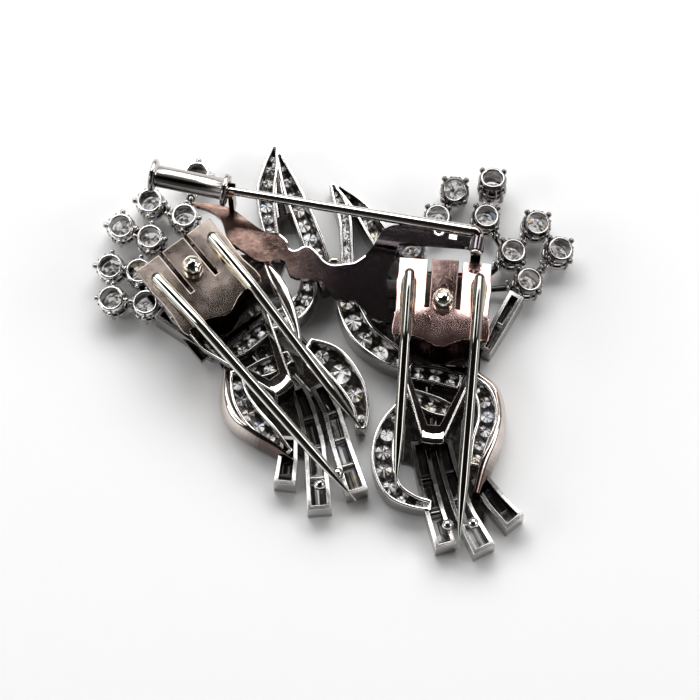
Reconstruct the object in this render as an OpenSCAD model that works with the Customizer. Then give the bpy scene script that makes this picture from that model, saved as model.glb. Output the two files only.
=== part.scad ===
// Double clip brooch: two mirrored diamond spray clips on one frame, lying face down.
// Millimetres. +Z is the back of the brooch, Z = 0 the surface that its front rests on.
// A clip's own frame has its flap's top edge at the origin, +X away from the other clip
// and -Y towards the tips of its prongs.

/* [Layout] */
// Length of the frame from its left end to the pin joint
frame_l = 38; // [36:0.5:42]
// Reference length of one clip, which its spray tables are shares of
clip_l = 50; // [48:0.5:54]
// Turn of the left clip in the brooch's plane
left_turn = 38.5; // [36:0.5:41]
// Turn of the right clip in the brooch's plane
right_turn = -4.5; // [-7:0.5:-2]

/* [Heights] */
// Height of the sprays' back rims above the resting surface
spray_h = 4.2; // [3.8:0.1:4.6]
// Height of the ribbons' front plates above the resting surface
front_z = 0.5; // [0.4:0.1:0.6]
// Height of the base plates' underside
base_h = 5.3; // [5.1:0.1:5.6]
// Thickness of the base plates
base_t = 0.8; // [0.6:0.1:1]
// Thickness of the frame plate
frame_t = 0.9; // [0.7:0.1:1.2]
// Height of the pin and catch above the frame plate
pin_lift = 5.2; // [4.9:0.1:6]

/* [Stones and settings] */
// Diameter of a main round stone
stone_d = 3.3; // [3:0.1:3.5]
// Height of a main stone's crown
crown_h = 0.5; // [0.4:0.05:0.6]
// Depth of a main stone's pavilion
pavilion_h = 1.4; // [1.2:0.1:1.6]
// Outer diameter of a collet
collet_d = 4; // [3.9:0.1:4.3]
// Height of a collet, from claw tips to back ring
collet_h = 4; // [3.7:0.1:4.3]
// Diameter of the open back of a collet
collet_eye = 2.9; // [2.6:0.1:3]
// Height of each of a collet's two rings
ring_h = 0.9; // [0.7:0.1:1.1]
// Diameter of a claw
claw_d = 0.6; // [0.5:0.05:0.7]
// Thickness of the ribbons' walls
wall = 0.5; // [0.4:0.05:0.6]
// Thickness of the ribbons' front plates
front_t = 0.8; // [0.6:0.1:1]
// Largest stone set in a ribbon
pave_max = 3; // [2:0.1:3.2]
// Length of a baguette
baguette_l = 3.2; // [2.8:0.1:3.6]
// Metal left between two stones
bead = 0.45; // [0.35:0.05:0.6]
// Width of the ties between the settings
tie_w = 1.1; // [1:0.1:1.4]
// Thickness of the ties and of the hub
tie_t = 0.9; // [0.8:0.1:1.1]
// Free space round a stone or a hidden post
fit = 0.12; // [0.1:0.01:0.15]

/* [Base plates] */
// Length of a base plate from its clip's home to its tongue end
base_l = 23.4; // [23:0.1:23.8]
// Distance from a clip's home to where the arms of the V start
shoulder_y = 13; // [12:0.2:13.4]
// Width of the arms of the V
arm_w = 0.9; // [0.7:0.1:1.2]
// Width of the tongue end
tongue_end_w = 2.8; // [2.4:0.1:3]
// Width of the legs under a base plate
leg_w = 1.2; // [1:0.1:1.4]
// Thickness of a hinge lug
lug_t = 0.8; // [0.7:0.1:1]
// Metal round the axle in its lugs
lug_wall = 0.6; // [0.5:0.05:0.7]
// Diameter of a hidden post
post_d = 1.4; // [1.2:0.1:1.6]
// Diameter of a stop ball
stop_d = 1.4; // [1.2:0.1:1.6]

/* [Flaps and prongs] */
// Width of a flap over its top edge
flap_w = 12.2; // [12:0.1:12.8]
// Length of a flap to the point of its V
flap_l = 12.4; // [12:0.1:13]
// Thickness of a flap
flap_t = 0.6; // [0.5:0.05:0.7]
// Height of a flap's underside over the base plate
flap_lift = 3.3; // [3.2:0.1:3.7]
// Width of the two slots beside a flap's tongue
slot_w = 0.55; // [0.4:0.05:0.7]
// Length of the slots
slot_l = 6.9; // [6:0.1:7.2]
// Width of a flap's tongue
tongue_w = 3.5; // [3.2:0.1:3.8]
// Distance from a flap's top edge to its hinge axle
axle_y = 7.6; // [7.2:0.1:8]
// Drop of the hinge axle below a flap
axle_drop = 1.4; // [1.2:0.1:1.5]
// Diameter of a hinge axle
axle_d = 1; // [0.8:0.05:1.1]
// Width of the cheeks that carry a flap on its axle
cheek_w = 4.8; // [4:0.2:5.2]
// Radius of a cheek's round end
cheek_r = 1.2; // [1.1:0.05:1.3]
// Gap between a cheek and its lug
cheek_gap = 0.3; // [0.2:0.05:0.4]
// Running gap of the hinges
run = 0.08; // [0.05:0.01:0.1]
// Diameter of a prong
prong_d = 1.4; // [1.2:0.05:1.5]
// Swelling of a wire at a bend and of a prong at its root
bulge = 0.1; // [0.06:0.02:0.2]
// Distance between a clip's prongs at their roots
prong_gap = 9.2; // [9:0.1:9.4]
// Distance from a flap's top edge to its prong roots
prong_root = 2.6; // [2.4:0.1:3]
// Length of the left clip's outer prong
left_outer_l = 39; // [38:0.5:39.5]
// Length of the left clip's inner prong
left_inner_l = 32.8; // [32:0.2:33.4]
// Length of the right clip's outer prong
right_outer_l = 35.4; // [34:0.2:36]
// Length of the right clip's inner prong
right_inner_l = 28.8; // [28:0.2:29.4]
// Drop of a prong from its root to its tip
prong_drop = 4.8; // [4.2:0.1:5]
// Length of a prong's sharpened end
prong_taper = 8; // [6:0.5:10]
// Reach of the left clip's outer prong tip past the middle of its flap
left_tip_x = 2.3; // [1.5:0.1:3]
// Reach of the right clip's outer prong tip past the middle of its flap
right_tip_x = 4.3; // [3.5:0.1:4.6]
// Diameter of a ball rivet
ball_d = 2.7; // [2.4:0.1:3]
// Diameter of a rivet's shank
shank_d = 1; // [0.8:0.1:1.2]
// Diameter of a rivet's flat head under the flap
rivet_head_d = 1.8; // [1.6:0.1:2.2]
// Distance from the left flap's top edge to its ball rivet
left_ball_y = 4.4; // [4.2:0.1:4.8]
// Distance from the right flap's top edge to its ball rivet
right_ball_y = 6; // [5.4:0.1:6.2]

/* [Pin and catch] */
// Diameter of the pin at its joint
pin_d = 1.6; // [1.4:0.05:1.7]
// Diameter of the pin's bent leg in the knuckle
leg_d = 1; // [0.9:0.05:1.1]
// Diameter of the pin where it enters the catch
pin_tip_d = 1.15; // [1:0.05:1.2]
// Length of the pin's point inside the catch
pin_in = 3.6; // [3.2:0.1:4]
// Length of the catch's sliding barrel
barrel_l = 9.9; // [9:0.1:10.4]
// Outer diameter of the sliding barrel
barrel_d = 2.9; // [2.8:0.05:3.1]
// Wall of the barrel and of the tube that it slides on
tube_wall = 0.32; // [0.3:0.02:0.36]
// Running gap of the barrel on its tube
slide_gap = 0.06; // [0.05:0.01:0.08]
// Diameter of the barrel's two flanges
flange_d = 4.1; // [3.8:0.1:4.4]
// Thickness of the flanges
flange_t = 0.7; // [0.6:0.05:0.8]
// Turn of the barrel from the line of the pin
barrel_turn = 2; // [0:0.5:2.5]
// Travel of the sliding barrel
slide_travel = 5; // [4.5:0.1:5.4]
// Length of the knuckle that carries the pin
knuckle_l = 1.8; // [1.6:0.1:1.9]
// Metal round the pin's leg in the knuckle
knuckle_wall = 0.45; // [0.4:0.05:0.55]
// Width of the stands under the knuckle and the catch
stand_w = 1.3; // [1.1:0.1:1.5]
// Length of the catch's tube outside the barrel, where its stand holds it
mouth_l = 0.8; // [0.7:0.05:1]

/* [Hidden] */
$fn = 48;

base_top = base_h + base_t;
plate_z = base_top + fit;
plate_top = plate_z + frame_t;
flap_z = base_top + flap_lift;
flap_top = flap_z + flap_t;
axle_z = flap_z - axle_drop;
pin_z = plate_top + pin_lift;
collet_r = collet_d / 2;
claw_r = claw_d / 2;
floor_z = front_z + front_t;
half_flap = flap_w / 2;
base_hw = half_flap - flap_t - cheek_gap;
knuckle_y = pin_d / 2 + 0.1;
barrel_r = barrel_d / 2;
tube_r = barrel_r - tube_wall - slide_gap;
tube_bore = tube_r - tube_wall;
// Place of the hidden post beside a base plate
post_at = [-9.2, -3.2];
// Reach of a cut past the metal that it goes through
over = 1;
// Overlap that welds two pieces of one solid
weld = 0.1;
// Half length of the ear that holds a hidden post, and its reach past the post and over the plate
ear_hl = 1.2;
ear_end = 1;
// Places of a base plate's legs: the upper pair's below its edge, the lower pair's short of the shoulder
leg_top = 1.6;
leg_short = 1;
// Thickness of the turned-down tongue end, and its reach past the point of the V
lip_t = 0.9;
lip_out = 0.7;
// Height of the tables of a ribbon's stones and of a baguette
pave_z = 0.25;
baguette_z = 0.15;
// A ribbon stone's crown and pavilion, and any brilliant's table, as shares of its width
pave_crown = 0.18;
pave_pavilion = 0.42;
table_share = 0.56;
// Smallest stone that a ribbon is set with
pave_min = 0.7;
// Back heights of a band's inner and outer edge, as shares of the spray's height
band_in = 0.95;
band_out = 0.55;
// Height of a stop ball's middle over the stems, whose height is a share of the spray's
stem_share = 0.8;
stop_lift = 0.4;
// Swelling of the pin's headed end beyond its leg, and that end's thickness
head_out = 0.3;
head_t = 0.4;
// Room for the pin at each side of its way out of the catch
way_gap = 0.15;
// Diameters of a prong's and of the pin's point
prong_point = 0.25;
pin_point = 0.2;
// A hundredth of a clip's length
share = clip_l / 100;
// Sides of a collet, of a claw and of a stone in a ribbon
collet_n = 8;
claw_n = 4;
stone_n = 8;
seat_n = 4;
// Sides of the lugs and of a stop ball
lug_n = 12;
stop_n = 8;
// Height above the claw tips where a collet's lower ring clears the stone's pavilion
gallery_z = 0.1 + crown_h + pavilion_h * (1 - (collet_eye * cos(180 / collet_n) - 2 * fit) / stone_d);

// Homes of the clips, of the pin joint and of the catch's mouth, in hundredths of the frame's length
right_home = [39, 25.5] * frame_l / 100;
left_home = [-55.5, 31] * frame_l / 100;
joint = [50.5, 33] * frame_l / 100;
mouth = [-36.3, 48.7] * frame_l / 100;
pin_a = atan2(mouth[1] - joint[1], mouth[0] - joint[0]);
pin_l = norm(mouth - joint);

// Round stones of each fan: across, along, lean about X, lean about Y, and the stone that it is tied to,
// which is 0 for the hub
LEFT_ROUNDS = [
    [-6, 18, 0, 6, 2],
    [-10, 9, 0, 0, 0],
    [-19.5, 16, -4, -4, 2],
    [4.5, 17.5, 4, 6, 5],
    [0.5, 10, 2, 4, 0],
    [13.5, 10, 4, 8, 7],
    [8.5, 4, 2, 6, 0],
    [18.5, 2, 0, 10, 9],
    [12.5, -4.5, 0, 6, 0]];
RIGHT_ROUNDS = [
    [-3, 17, 0, 0, 2],
    [-9, 7, 0, -4, 0],
    [1, 26.5, 14, 0, 1],
    [11, 27, -14, 0, 5],
    [9.5, 18, 0, 4, 7],
    [23, 17.5, 4, 6, 7],
    [17, 8.5, 0, 6, 0],
    [29, 10, 0, 10, 9],
    [21.5, 0.5, 0, 8, 0]];

// Ribbons and leaves: across, along, half width, and back height in hundredths of the spray's height
LEFT_RIBBONS = [
    // Two lobes of the leaf
    [[-42, 10.4, 0.8, 80], [-37, 6, 2.1, 90], [-31.5, 1, 2.6, 90], [-27.5, -5, 2.4, 85],
        [-23.5, -13, 1.8, 80]],
    [[-41.2, 8, 0.9, 86], [-37, -3.5, 2.5, 110], [-34, -13, 2.9, 115], [-31, -22, 3, 105],
        [-27.5, -31.5, 1.9, 90]],
    // Curl under the frame
    [[-26, -24, 1.8, 90], [-22, -29, 2.6, 95], [-15, -31, 2.8, 100], [-8, -29, 2.4, 100]],
    // Inner loop
    [[-13.5, -40, 1.6, 90], [-15.5, -47, 3.7, 95], [-15.5, -55.5, 3.5, 95], [-13.5, -62.5, 2.4, 90],
        [-9.5, -67.5, 1.3, 80]],
    // Outer loop
    [[6, -34, 1.6, 85], [9.5, -40.5, 2.4, 90], [10.5, -47, 2.8, 90], [10, -54, 2.5, 90],
        [9.5, -61, 1.6, 80]],
    // Folds between the arms of the V
    [[6.5, -29, 1.8, 90], [0, -30, 2.6, 94], [-9, -29.4, 2.1, 92]],
    [[4.5, -36.5, 1.6, 80], [-1, -38.5, 2.7, 85], [-8, -40, 1.8, 80]]];
RIGHT_RIBBONS = [
    // Two lobes of the leaf
    [[-32, 24.9, 0.8, 80], [-29.5, 19.5, 1.8, 90], [-27.5, 13.5, 1.8, 95], [-26.5, 5.5, 1.8, 90],
        [-25.5, -2, 1.8, 85]],
    [[-30.6, 24.2, 0.9, 86], [-24.5, 18.5, 2.1, 100], [-19.5, 12, 2.9, 110], [-14.5, 5, 2.8, 100]],
    // Big ribbon under the frame
    [[-26, -4, 2.3, 95], [-24.5, -11, 3.2, 105], [-20.5, -18, 3.4, 110], [-13.5, -23, 3.2, 105],
        [-7, -26, 2.4, 100]],
    // Inner loop
    [[-8.5, -36.5, 1.6, 85], [-12, -44, 2.7, 90], [-12.5, -52.5, 3.1, 95], [-9.5, -60, 2.6, 95],
        [-4, -63, 1.9, 90], [1, -63.5, 1.4, 80]],
    // Outer loop
    [[8, -28, 1.7, 85], [12.5, -32, 2.5, 90], [14, -38.5, 2.7, 90], [12.5, -45, 2.4, 90],
        [11.5, -52, 1.7, 80]],
    // Folds between the arms of the V
    [[-8, -27.5, 2.3, 95], [-0.5, -28, 2.6, 95], [6.5, -29.5, 2.3, 95]],
    [[-7.5, -33, 1.7, 80], [-0.5, -36, 2.7, 85], [5.5, -37.5, 1.8, 80]]];

// Polished bands round the outer loops: inner edge and outer edge
LEFT_BAND = [
    [[8.5, -33, 7.5, -30.5], [12, -39, 14, -37], [13.5, -45, 16.5, -43.5], [12.5, -51, 15, -51.5],
        [10.5, -57, 12.5, -58], [9.5, -63, 10.5, -63.5]]];
RIGHT_BAND = [
    [[10, -27, 10.5, -24.5], [15, -31, 16.5, -29], [16.5, -38, 19, -37], [15, -45, 18.5, -44.5],
        [12.5, -51.5, 16.5, -51.5], [11.5, -59.5, 14.5, -60]]];

// Baguette bars: across, along, half width and back height, with the stones on each
LEFT_BARS = [
    [[12, -8.5, 1.9, 90], [9, -17.5, 2.1, 85], [7, -26, 1.6, 80]],
    [[6, -57, 2.2, 70], [11, -62.5, 2.7, 80], [15.5, -67, 2.9, 85]],
    [[-4, -47.5, 2.2, 75], [-2, -54, 2.4, 75], [2, -62.5, 2.8, 75], [12.5, -78, 3.2, 85]],
    [[-8.5, -50.5, 2.2, 75], [-7, -58.5, 2.4, 75], [-3, -67.5, 2.7, 75], [2, -80.5, 3, 85]]];
RIGHT_BARS = [
    [[19.5, -3.5, 2.1, 95], [15.5, -12, 2.1, 90], [12, -20, 1.6, 80]],
    [[12.5, -54.5, 2.3, 75], [17.5, -61, 2.8, 80], [23, -66.5, 3, 85]],
    [[2.5, -45.5, 2.3, 75], [5, -53.5, 2.4, 75], [9.5, -64.5, 2.7, 75], [15.5, -74.5, 3.1, 85]],
    [[-3.5, -46, 2.3, 75], [-1.5, -54, 2.4, 75], [2, -65, 2.6, 75], [5.5, -74.5, 2.8, 85]]];

// Ties from the hub to the ribbons and between them: across and along at the start and at the end
LEFT_TIES = [
    [-4, -24.5, -4, -27.6],
    [-1, -32.3, -1, -35.9],
    [-1, -41.3, -1, -46.8],
    [-13.5, -33.4, -13.5, -40.3],
    [-12.3, -52.5, -10.4, -52.5],
    [-6.5, -51.5, -4.8, -51.5],
    [6.3, -30.2, 6, -34.4],
    [-23.6, -12.4, -11.5, -12],
    [-29, -23.5, -25.8, -24]];
RIGHT_TIES = [
    [-2, -30.2, -2, -33.8],
    [0, -38.2, 0, -46.6]];

// Stop balls on the stems
LEFT_STOPS = [[3, -73.5], [8.5, -73]];
RIGHT_STOPS = [[5.5, -69], [12, -68]];

// Upper and lower edge of the frame plate from left to right, in hundredths of its length
FRAME_UPPER = [
    [-49.5, 50], [-40.5, 49], [-35.5, 47.5], [-31.5, 44.5], [-26.5, 40.5], [-23, 38.5], [-18.5, 38],
    [-16, 35.5], [-15, 32.5], [-13, 32], [-10, 33.5], [-7.5, 33], [-5, 30.5], [-3, 28], [0, 26.5],
    [4.5, 27], [7.5, 27.5], [11, 30], [14, 33.5], [16.5, 38], [19, 40.5], [23.5, 41.5], [30.5, 40.5],
    [50, 36.5]];
FRAME_LOWER = [
    [-48, 48.5], [-43.5, 47], [-39.5, 44], [-38, 40], [-37, 36.5], [-34, 33.5], [-30.5, 31],
    [-27.5, 28.5], [-24, 27.5], [-18.5, 28.5], [-16.5, 27], [-15.5, 23.5], [-13, 21.5], [-4.5, 20.5],
    [-3, 18], [-0.5, 15.5], [2, 13.5], [5.5, 13], [8.5, 13], [11.5, 8.5], [16, 5.5], [20, 5]];
FRAME_SIDE = [[18.5, 21], [20, 25.5], [21.5, 29.5], [23, 34.5], [34, 34], [46, 33], [52, 32]];

// Share of a stone's distance across at which its tie ends in the hub
hub_share = 0.4;

// Outline of the hub, in hundredths of the base plate's half width and of its shoulder's distance
HUB_EDGE = [[-115, 8], [110, 11], [107, -99], [-98, -99]];

// Half outline of a flap: shares of its half width and of its length, from the top edge to the point
FLAP_EDGE = [
    [100, 0], [99, 18], [103, 30], [100, 42], [99, 60], [105, 80], [103, 88], [62, 87], [35, 91], [0, 100]];

function spline_point(a, b, c, d, t) =
    (2 * b + (c - a) * t + (2 * a - 5 * b + 4 * c - d) * t * t + (3 * b - a - 3 * c + d) * t * t * t) / 2;
function smooth(rows, n = 2) =
    let (m = len(rows) - 1)
    [for (i = [0 : m - 1], k = [0 : n - 1])
        spline_point(rows[max(i - 1, 0)], rows[i], rows[i + 1], rows[min(i + 2, m)], k / n), rows[m]];

// A table row in millimetres: x, y, half width, height
function sized(r) = [r[0] * share, r[1] * share, r[2] * share, r[3] * spray_h / 100];
function path_of(rows) = [for (r = smooth(rows)) sized(r)];
function bar_path(rows) = [for (r = rows) sized(r)];
function heading(p, i) =
    let (a = p[max(i - 1, 0)], b = p[min(i + 1, len(p) - 1)], d = [b[0] - a[0], b[1] - a[1]]) d / norm(d);
// One edge of a path, s = 1 for the left and -1 for the right, moved in by d but never to the middle
function edge_of(p, s, d = 0) =
    [for (i = [0 : len(p) - 1])
        let (h = heading(p, i), w = s * max(p[i][2] - d, 0.2 * p[i][2]))
        [p[i][0] - h[1] * w, p[i][1] + h[0] * w, p[i][3]]];
function lengths(p, i = 0, sum = 0) =
    i >= len(p) - 1 ? [sum] :
    let (step = norm([p[i + 1][0] - p[i][0], p[i + 1][1] - p[i][1]]))
    concat([sum], lengths(p, i + 1, sum + step));
// The point of a path at a distance along it: x, y, half width, height, heading
function along(p, at) =
    let (l = lengths(p), i = max([for (k = [0 : len(p) - 2]) if (l[k] <= at + 0.001) k]),
        t = (at - l[i]) / (l[i + 1] - l[i]), q = p[i] * (1 - t) + p[i + 1] * t)
    [q[0], q[1], q[2], q[3], atan2(p[i + 1][1] - p[i][1], p[i + 1][0] - p[i][0])];
function total(p) = let (l = lengths(p)) l[len(l) - 1];
// Centres of the stones of a ribbon with their diameters
function ribbon_stones(p) =
    let (l = total(p), wide = max([for (q = p) q[2]]), d = min(pave_max, 2 * (wide - wall) - 3 * fit),
        n = max(1, floor((l - 2 * wall) / (d + bead))))
    [for (i = [0 : n - 1])
        let (q = along(p, wall + (i + 0.5) * (l - 2 * wall) / n),
            size = min(d, 2 * (q[2] - wall) - 3 * fit, (l - 2 * wall) / n - bead))
        if (size > pave_min) [q[0], q[1], size, q[4]]];
// Centres, headings and widths of the baguettes of a bar
function bar_stones(p) =
    let (l = total(p) - 2 * wall, n = max(1, floor(l / (baguette_l + bead))), pitch = l / n)
    [for (i = [0 : n - 1])
        let (q = along(p, wall + (i + 0.5) * pitch))
        [q[0], q[1], 2 * (q[2] - wall - fit), min(baguette_l, pitch - bead - 2 * fit), q[4]]];
function place_of(r) = [r[0] * share, r[1] * share];
// Rise of a leaning collet that keeps its claws off the resting surface
function lift_of(r) = (collet_r + claw_r) * sin(norm([r[2], r[3]])) + 0.01;

// A strip between two edges that both rise from the height low
module strip(left, right, low) {
    m = len(left);
    points = [for (i = [0 : m - 1])
        each [[left[i][0], left[i][1], low], left[i], right[i], [right[i][0], right[i][1], low]]];
    last = 4 * (m - 1);
    faces = concat([[0, 1, 2, 3], [last, last + 3, last + 2, last + 1]],
        [for (i = [0 : m - 2])
            let (a = 4 * i, b = a + 4)
            each [
                [a + 1, b + 1, b + 2, a + 2],
                [a, a + 3, b + 3, b],
                [a, b, b + 1, a + 1],
                [a + 3, a + 2, b + 2, b + 3]]]);
    polyhedron(points = points, faces = faces);
}

// A ribbon or leaf: a trough with a front plate and two walls, open at the back, with its floor raised at
// both ends
module ribbon(rows) {
    p = path_of(rows);
    m = len(p);
    left = edge_of(p, 1);
    left_in = edge_of(p, 1, wall);
    right_in = edge_of(p, -1, wall);
    right = edge_of(p, -1);
    points = [for (i = [0 : m - 1])
        let (low = i == 0 || i == m - 1 ? p[i][3] - weld : floor_z)
        each [
            [left[i][0], left[i][1], front_z], left[i], left_in[i], [left_in[i][0], left_in[i][1], low],
            [right_in[i][0], right_in[i][1], low], right_in[i], right[i],
            [right[i][0], right[i][1], front_z]]];
    last = 8 * (m - 1);
    faces = concat(
        [[for (k = [0 : 7]) k], [for (k = [7 : -1 : 0]) last + k]],
        [for (i = [0 : m - 2], k = [0 : 7])
            let (a = 8 * i, b = a + 8, n = (k + 1) % 8)
            [a + k, b + k, b + n, a + n]]);
    polyhedron(points = points, faces = faces);
}

module bar(rows) {
    p = bar_path(rows);
    strip(edge_of(p, 1), edge_of(p, -1), 0);
}

module band(rows) {
    p = smooth(rows) * share;
    outer = [for (q = p) [q[2], q[3], spray_h * band_out]];
    inner = [for (q = p) [q[0], q[1], spray_h * band_in]];
    strip(outer, inner, front_z);
}

module collet_frame(r) {
    translate([r[0] * share, r[1] * share, lift_of(r)])
        rotate([r[2], r[3], 0])
            children();
}

// A collet standing on its claw tips: a lower and an upper ring on four claws
module collet() {
    for (z = [gallery_z, collet_h - ring_h])
        rotate([0, 0, 180 / collet_n])
            translate([0, 0, z])
                cylinder(d = collet_d, h = ring_h, $fn = collet_n);
    for (a = [45 : 90 : 315])
        rotate([0, 0, a])
            translate([collet_r, 0, 0])
                cylinder(d = claw_d, h = collet_h - ring_h / 3, $fn = claw_n);
}

// The eye through both rings, and the stone's own space under the lower ring
module collet_bore() {
    rotate([0, 0, 180 / collet_n])
        translate([0, 0, -0.5]) {
            cylinder(d = collet_eye, h = collet_h + 1, $fn = collet_n);
            cylinder(d = stone_d + 2 * fit, h = gallery_z + 0.48, $fn = collet_n);
        }
}

// Tie between two points at the height of the front work
module tie(a, b) {
    hull() {
        for (p = [a, b])
            translate([p[0], p[1], floor_z])
                cylinder(d = tie_w, h = tie_t, $fn = claw_n);
    }
}

// A brilliant on its table: eight crown facets and eight pavilion facets
module brilliant(d, crown, pavilion) {
    n = stone_n;
    turns = [for (i = [0 : n - 1]) [cos(360 * i / n), sin(360 * i / n)] * d / 2];
    table = [for (t = turns) [t[0] * table_share, t[1] * table_share, 0]];
    girdle = [for (t = turns) [t[0], t[1], crown]];
    polyhedron(
        points = concat(table, girdle, [[0, 0, crown + pavilion]]),
        faces = concat(
            [[for (i = [0 : n - 1]) i]],
            [for (i = [0 : n - 1]) let (j = (i + 1) % n) [i, n + i, n + j, j]],
            [for (i = [0 : n - 1]) [n + (i + 1) % n, n + i, 2 * n]]));
}

module main_stone(r) {
    color([0.88, 0.9, 0.93])
        collet_frame(r)
            translate([0, 0, 0.1])
                rotate([0, 0, 180 / stone_n])
                    brilliant(stone_d, crown_h, pavilion_h);
}

module ribbon_stone(s) {
    translate([s[0], s[1], pave_z])
        brilliant(s[2], pave_crown * s[2], pave_pavilion * s[2]);
}

module ribbon_seat(s) {
    translate([s[0], s[1], -0.1])
        rotate([0, 0, s[3] + 45])
            cylinder(d = (s[2] + 2 * fit) / cos(180 / seat_n), h = floor_z + tie_t + 0.3, $fn = seat_n);
}

// A baguette on its table, widest at its girdle, with a narrow keel at the back
module baguette(s) {
    translate([s[0], s[1], 0])
        rotate([0, 0, s[4]]) {
            hull() {
                translate([-0.36 * s[3], -0.3 * s[2], baguette_z])
                    cube([0.72 * s[3], 0.6 * s[2], 0.02]);
                translate([-0.5 * s[3], -0.5 * s[2], baguette_z + 0.45])
                    cube([s[3], s[2], 0.2]);
                translate([-0.4 * s[3], -0.06 * s[2], baguette_z + 0.65 + 0.45 * s[2]])
                    cube([0.8 * s[3], 0.12 * s[2], 0.02]);
            }
        }
}

module baguette_pocket(s) {
    translate([s[0], s[1], -over])
        rotate([0, 0, s[4]])
            translate([-0.5 * s[3] - fit, -0.5 * s[2] - fit, 0])
                cube([s[3] + 2 * fit, s[2] + 2 * fit, spray_h + 2 * over]);
}

module base_plate() {
    w = base_hw;
    tip = tongue_end_w / 2 + 0.2;
    open_y = shoulder_y + 0.2;
    difference() {
        translate([0, 0, base_h])
            linear_extrude(base_t)
                polygon([
                    [-w, -leg_w / 2], [w, -leg_w / 2], [w, -shoulder_y],
                    [tip, -base_l], [-tip, -base_l], [-w, -shoulder_y]]);
        translate([0, 0, base_h - over])
            linear_extrude(base_t + 2 * over)
                polygon([
                    [arm_w - w, -open_y], [w - arm_w, -open_y],
                    [tip / 2, 2 * arm_w - base_l], [-tip / 2, 2 * arm_w - base_l]]);
    }
    // Tongue end, turned down to the stems
    translate([-tongue_end_w / 2, -base_l - lip_out, floor_z + lip_out])
        cube([tongue_end_w, lip_t, base_top - floor_z - lip_out - weld]);
    // Ear under the frame with the socket of the hidden post
    translate([post_at[0] - ear_end, post_at[1] - ear_hl, base_h])
        cube([-w - post_at[0] + 2 * ear_end, 2 * ear_hl, base_t]);
    // Legs down to the front work
    for (x = [-1, 1], y = [leg_top, shoulder_y - leg_short])
        translate([x * (w - 1) - leg_w / 2, -y - leg_w / 2, front_z])
            cube([leg_w, leg_w, base_h - front_z + weld]);
    // Hub that the fan and the ribbons spring from
    translate([0, 0, floor_z])
        linear_extrude(tie_t)
            polygon([for (p = HUB_EDGE) [p[0] * w / 100, p[1] * shoulder_y / 100]]);
    // Lugs of the flap's hinge, just inside the plate's edge
    for (x = [weld - w, w - lug_t - weld])
        translate([x, -axle_y, 0])
            rotate([90, 0, 90]) {
                translate([0, axle_z, 0])
                    cylinder(r = axle_d / 2 + lug_wall, h = lug_t, $fn = lug_n);
                translate([-axle_d / 2 - lug_wall, base_h, 0])
                    cube([axle_d + 2 * lug_wall, axle_z - base_h, lug_t]);
            }
}

module mount(rounds, ribbons, bands, bars, ties, stops) {
    color([0.78, 0.77, 0.76])
        difference() {
            union() {
                for (r = rounds) {
                    collet_frame(r)
                        collet();
                    held_by = r[4] == 0 ? [r[0] * hub_share, -2] * share : place_of(rounds[r[4] - 1]);
                    tie(place_of(r), held_by);
                }
                for (r = ribbons)
                    ribbon(r);
                for (b = bands)
                    band(b);
                for (b = bars)
                    bar(b);
                for (t = ties)
                    tie([t[0], t[1]] * share, [t[2], t[3]] * share);
                for (s = stops)
                    translate([s[0] * share, s[1] * share, spray_h * stem_share + stop_lift])
                        sphere(d = stop_d, $fn = stop_n);
                base_plate();
            }
            for (r = rounds)
                collet_frame(r)
                    collet_bore();
            for (r = ribbons, s = ribbon_stones(path_of(r)))
                ribbon_seat(s);
            for (b = bars, s = bar_stones(bar_path(b)))
                baguette_pocket(s);
            // Bores of the axle and of the hidden post
            translate([-flap_w, -axle_y, axle_z])
                rotate([0, 90, 0])
                    cylinder(d = axle_d + 2 * run, h = 2 * flap_w, $fn = lug_n);
            translate([post_at[0], post_at[1], base_h - over])
                cylinder(d = post_d + 2 * fit, h = base_t + 2 * over, $fn = lug_n);
        }
}

module pave(ribbons) {
    color([0.86, 0.88, 0.92])
        for (r = ribbons, s = ribbon_stones(path_of(r)))
            ribbon_stone(s);
}

module baguettes(bars) {
    color([0.8, 0.84, 0.9])
        for (b = bars, s = bar_stones(bar_path(b)))
            baguette(s);
}

module post() {
    color([0.7, 0.69, 0.68])
        translate([post_at[0], post_at[1], base_h])
            cylinder(d = post_d, h = plate_z - base_h + frame_t / 2);
}

// Stands children on the point a with +Z towards the point b
module aim(a, b) {
    v = b - a;
    translate(a)
        rotate([0, acos(v[2] / norm(v)), atan2(v[1], v[0])])
            children();
}

// A prong from its root at the side s, along the flap, then down to a tip that is len_y further on
module prong(s, len_y, tip_x) {
    root = [s * prong_gap / 2, -prong_root, flap_top + prong_d / 2 - weld];
    tip = [tip_x, -prong_root - len_y, root[2] - prong_drop];
    flat = (flap_l - 1 - prong_root) / len_y;
    knee = [root[0] + flat * (tip[0] - root[0]), -flap_l + 1, root[2]];
    slope_l = norm(tip - knee);
    for (p = [root, knee])
        translate(p)
            sphere(d = prong_d + bulge);
    aim(root, knee)
        cylinder(d = prong_d, h = norm(knee - root));
    aim(knee, tip) {
        cylinder(d = prong_d, h = slope_l - prong_taper);
        translate([0, 0, slope_l - prong_taper])
            cylinder(d1 = prong_d, d2 = prong_point, h = prong_taper);
    }
}

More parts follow.
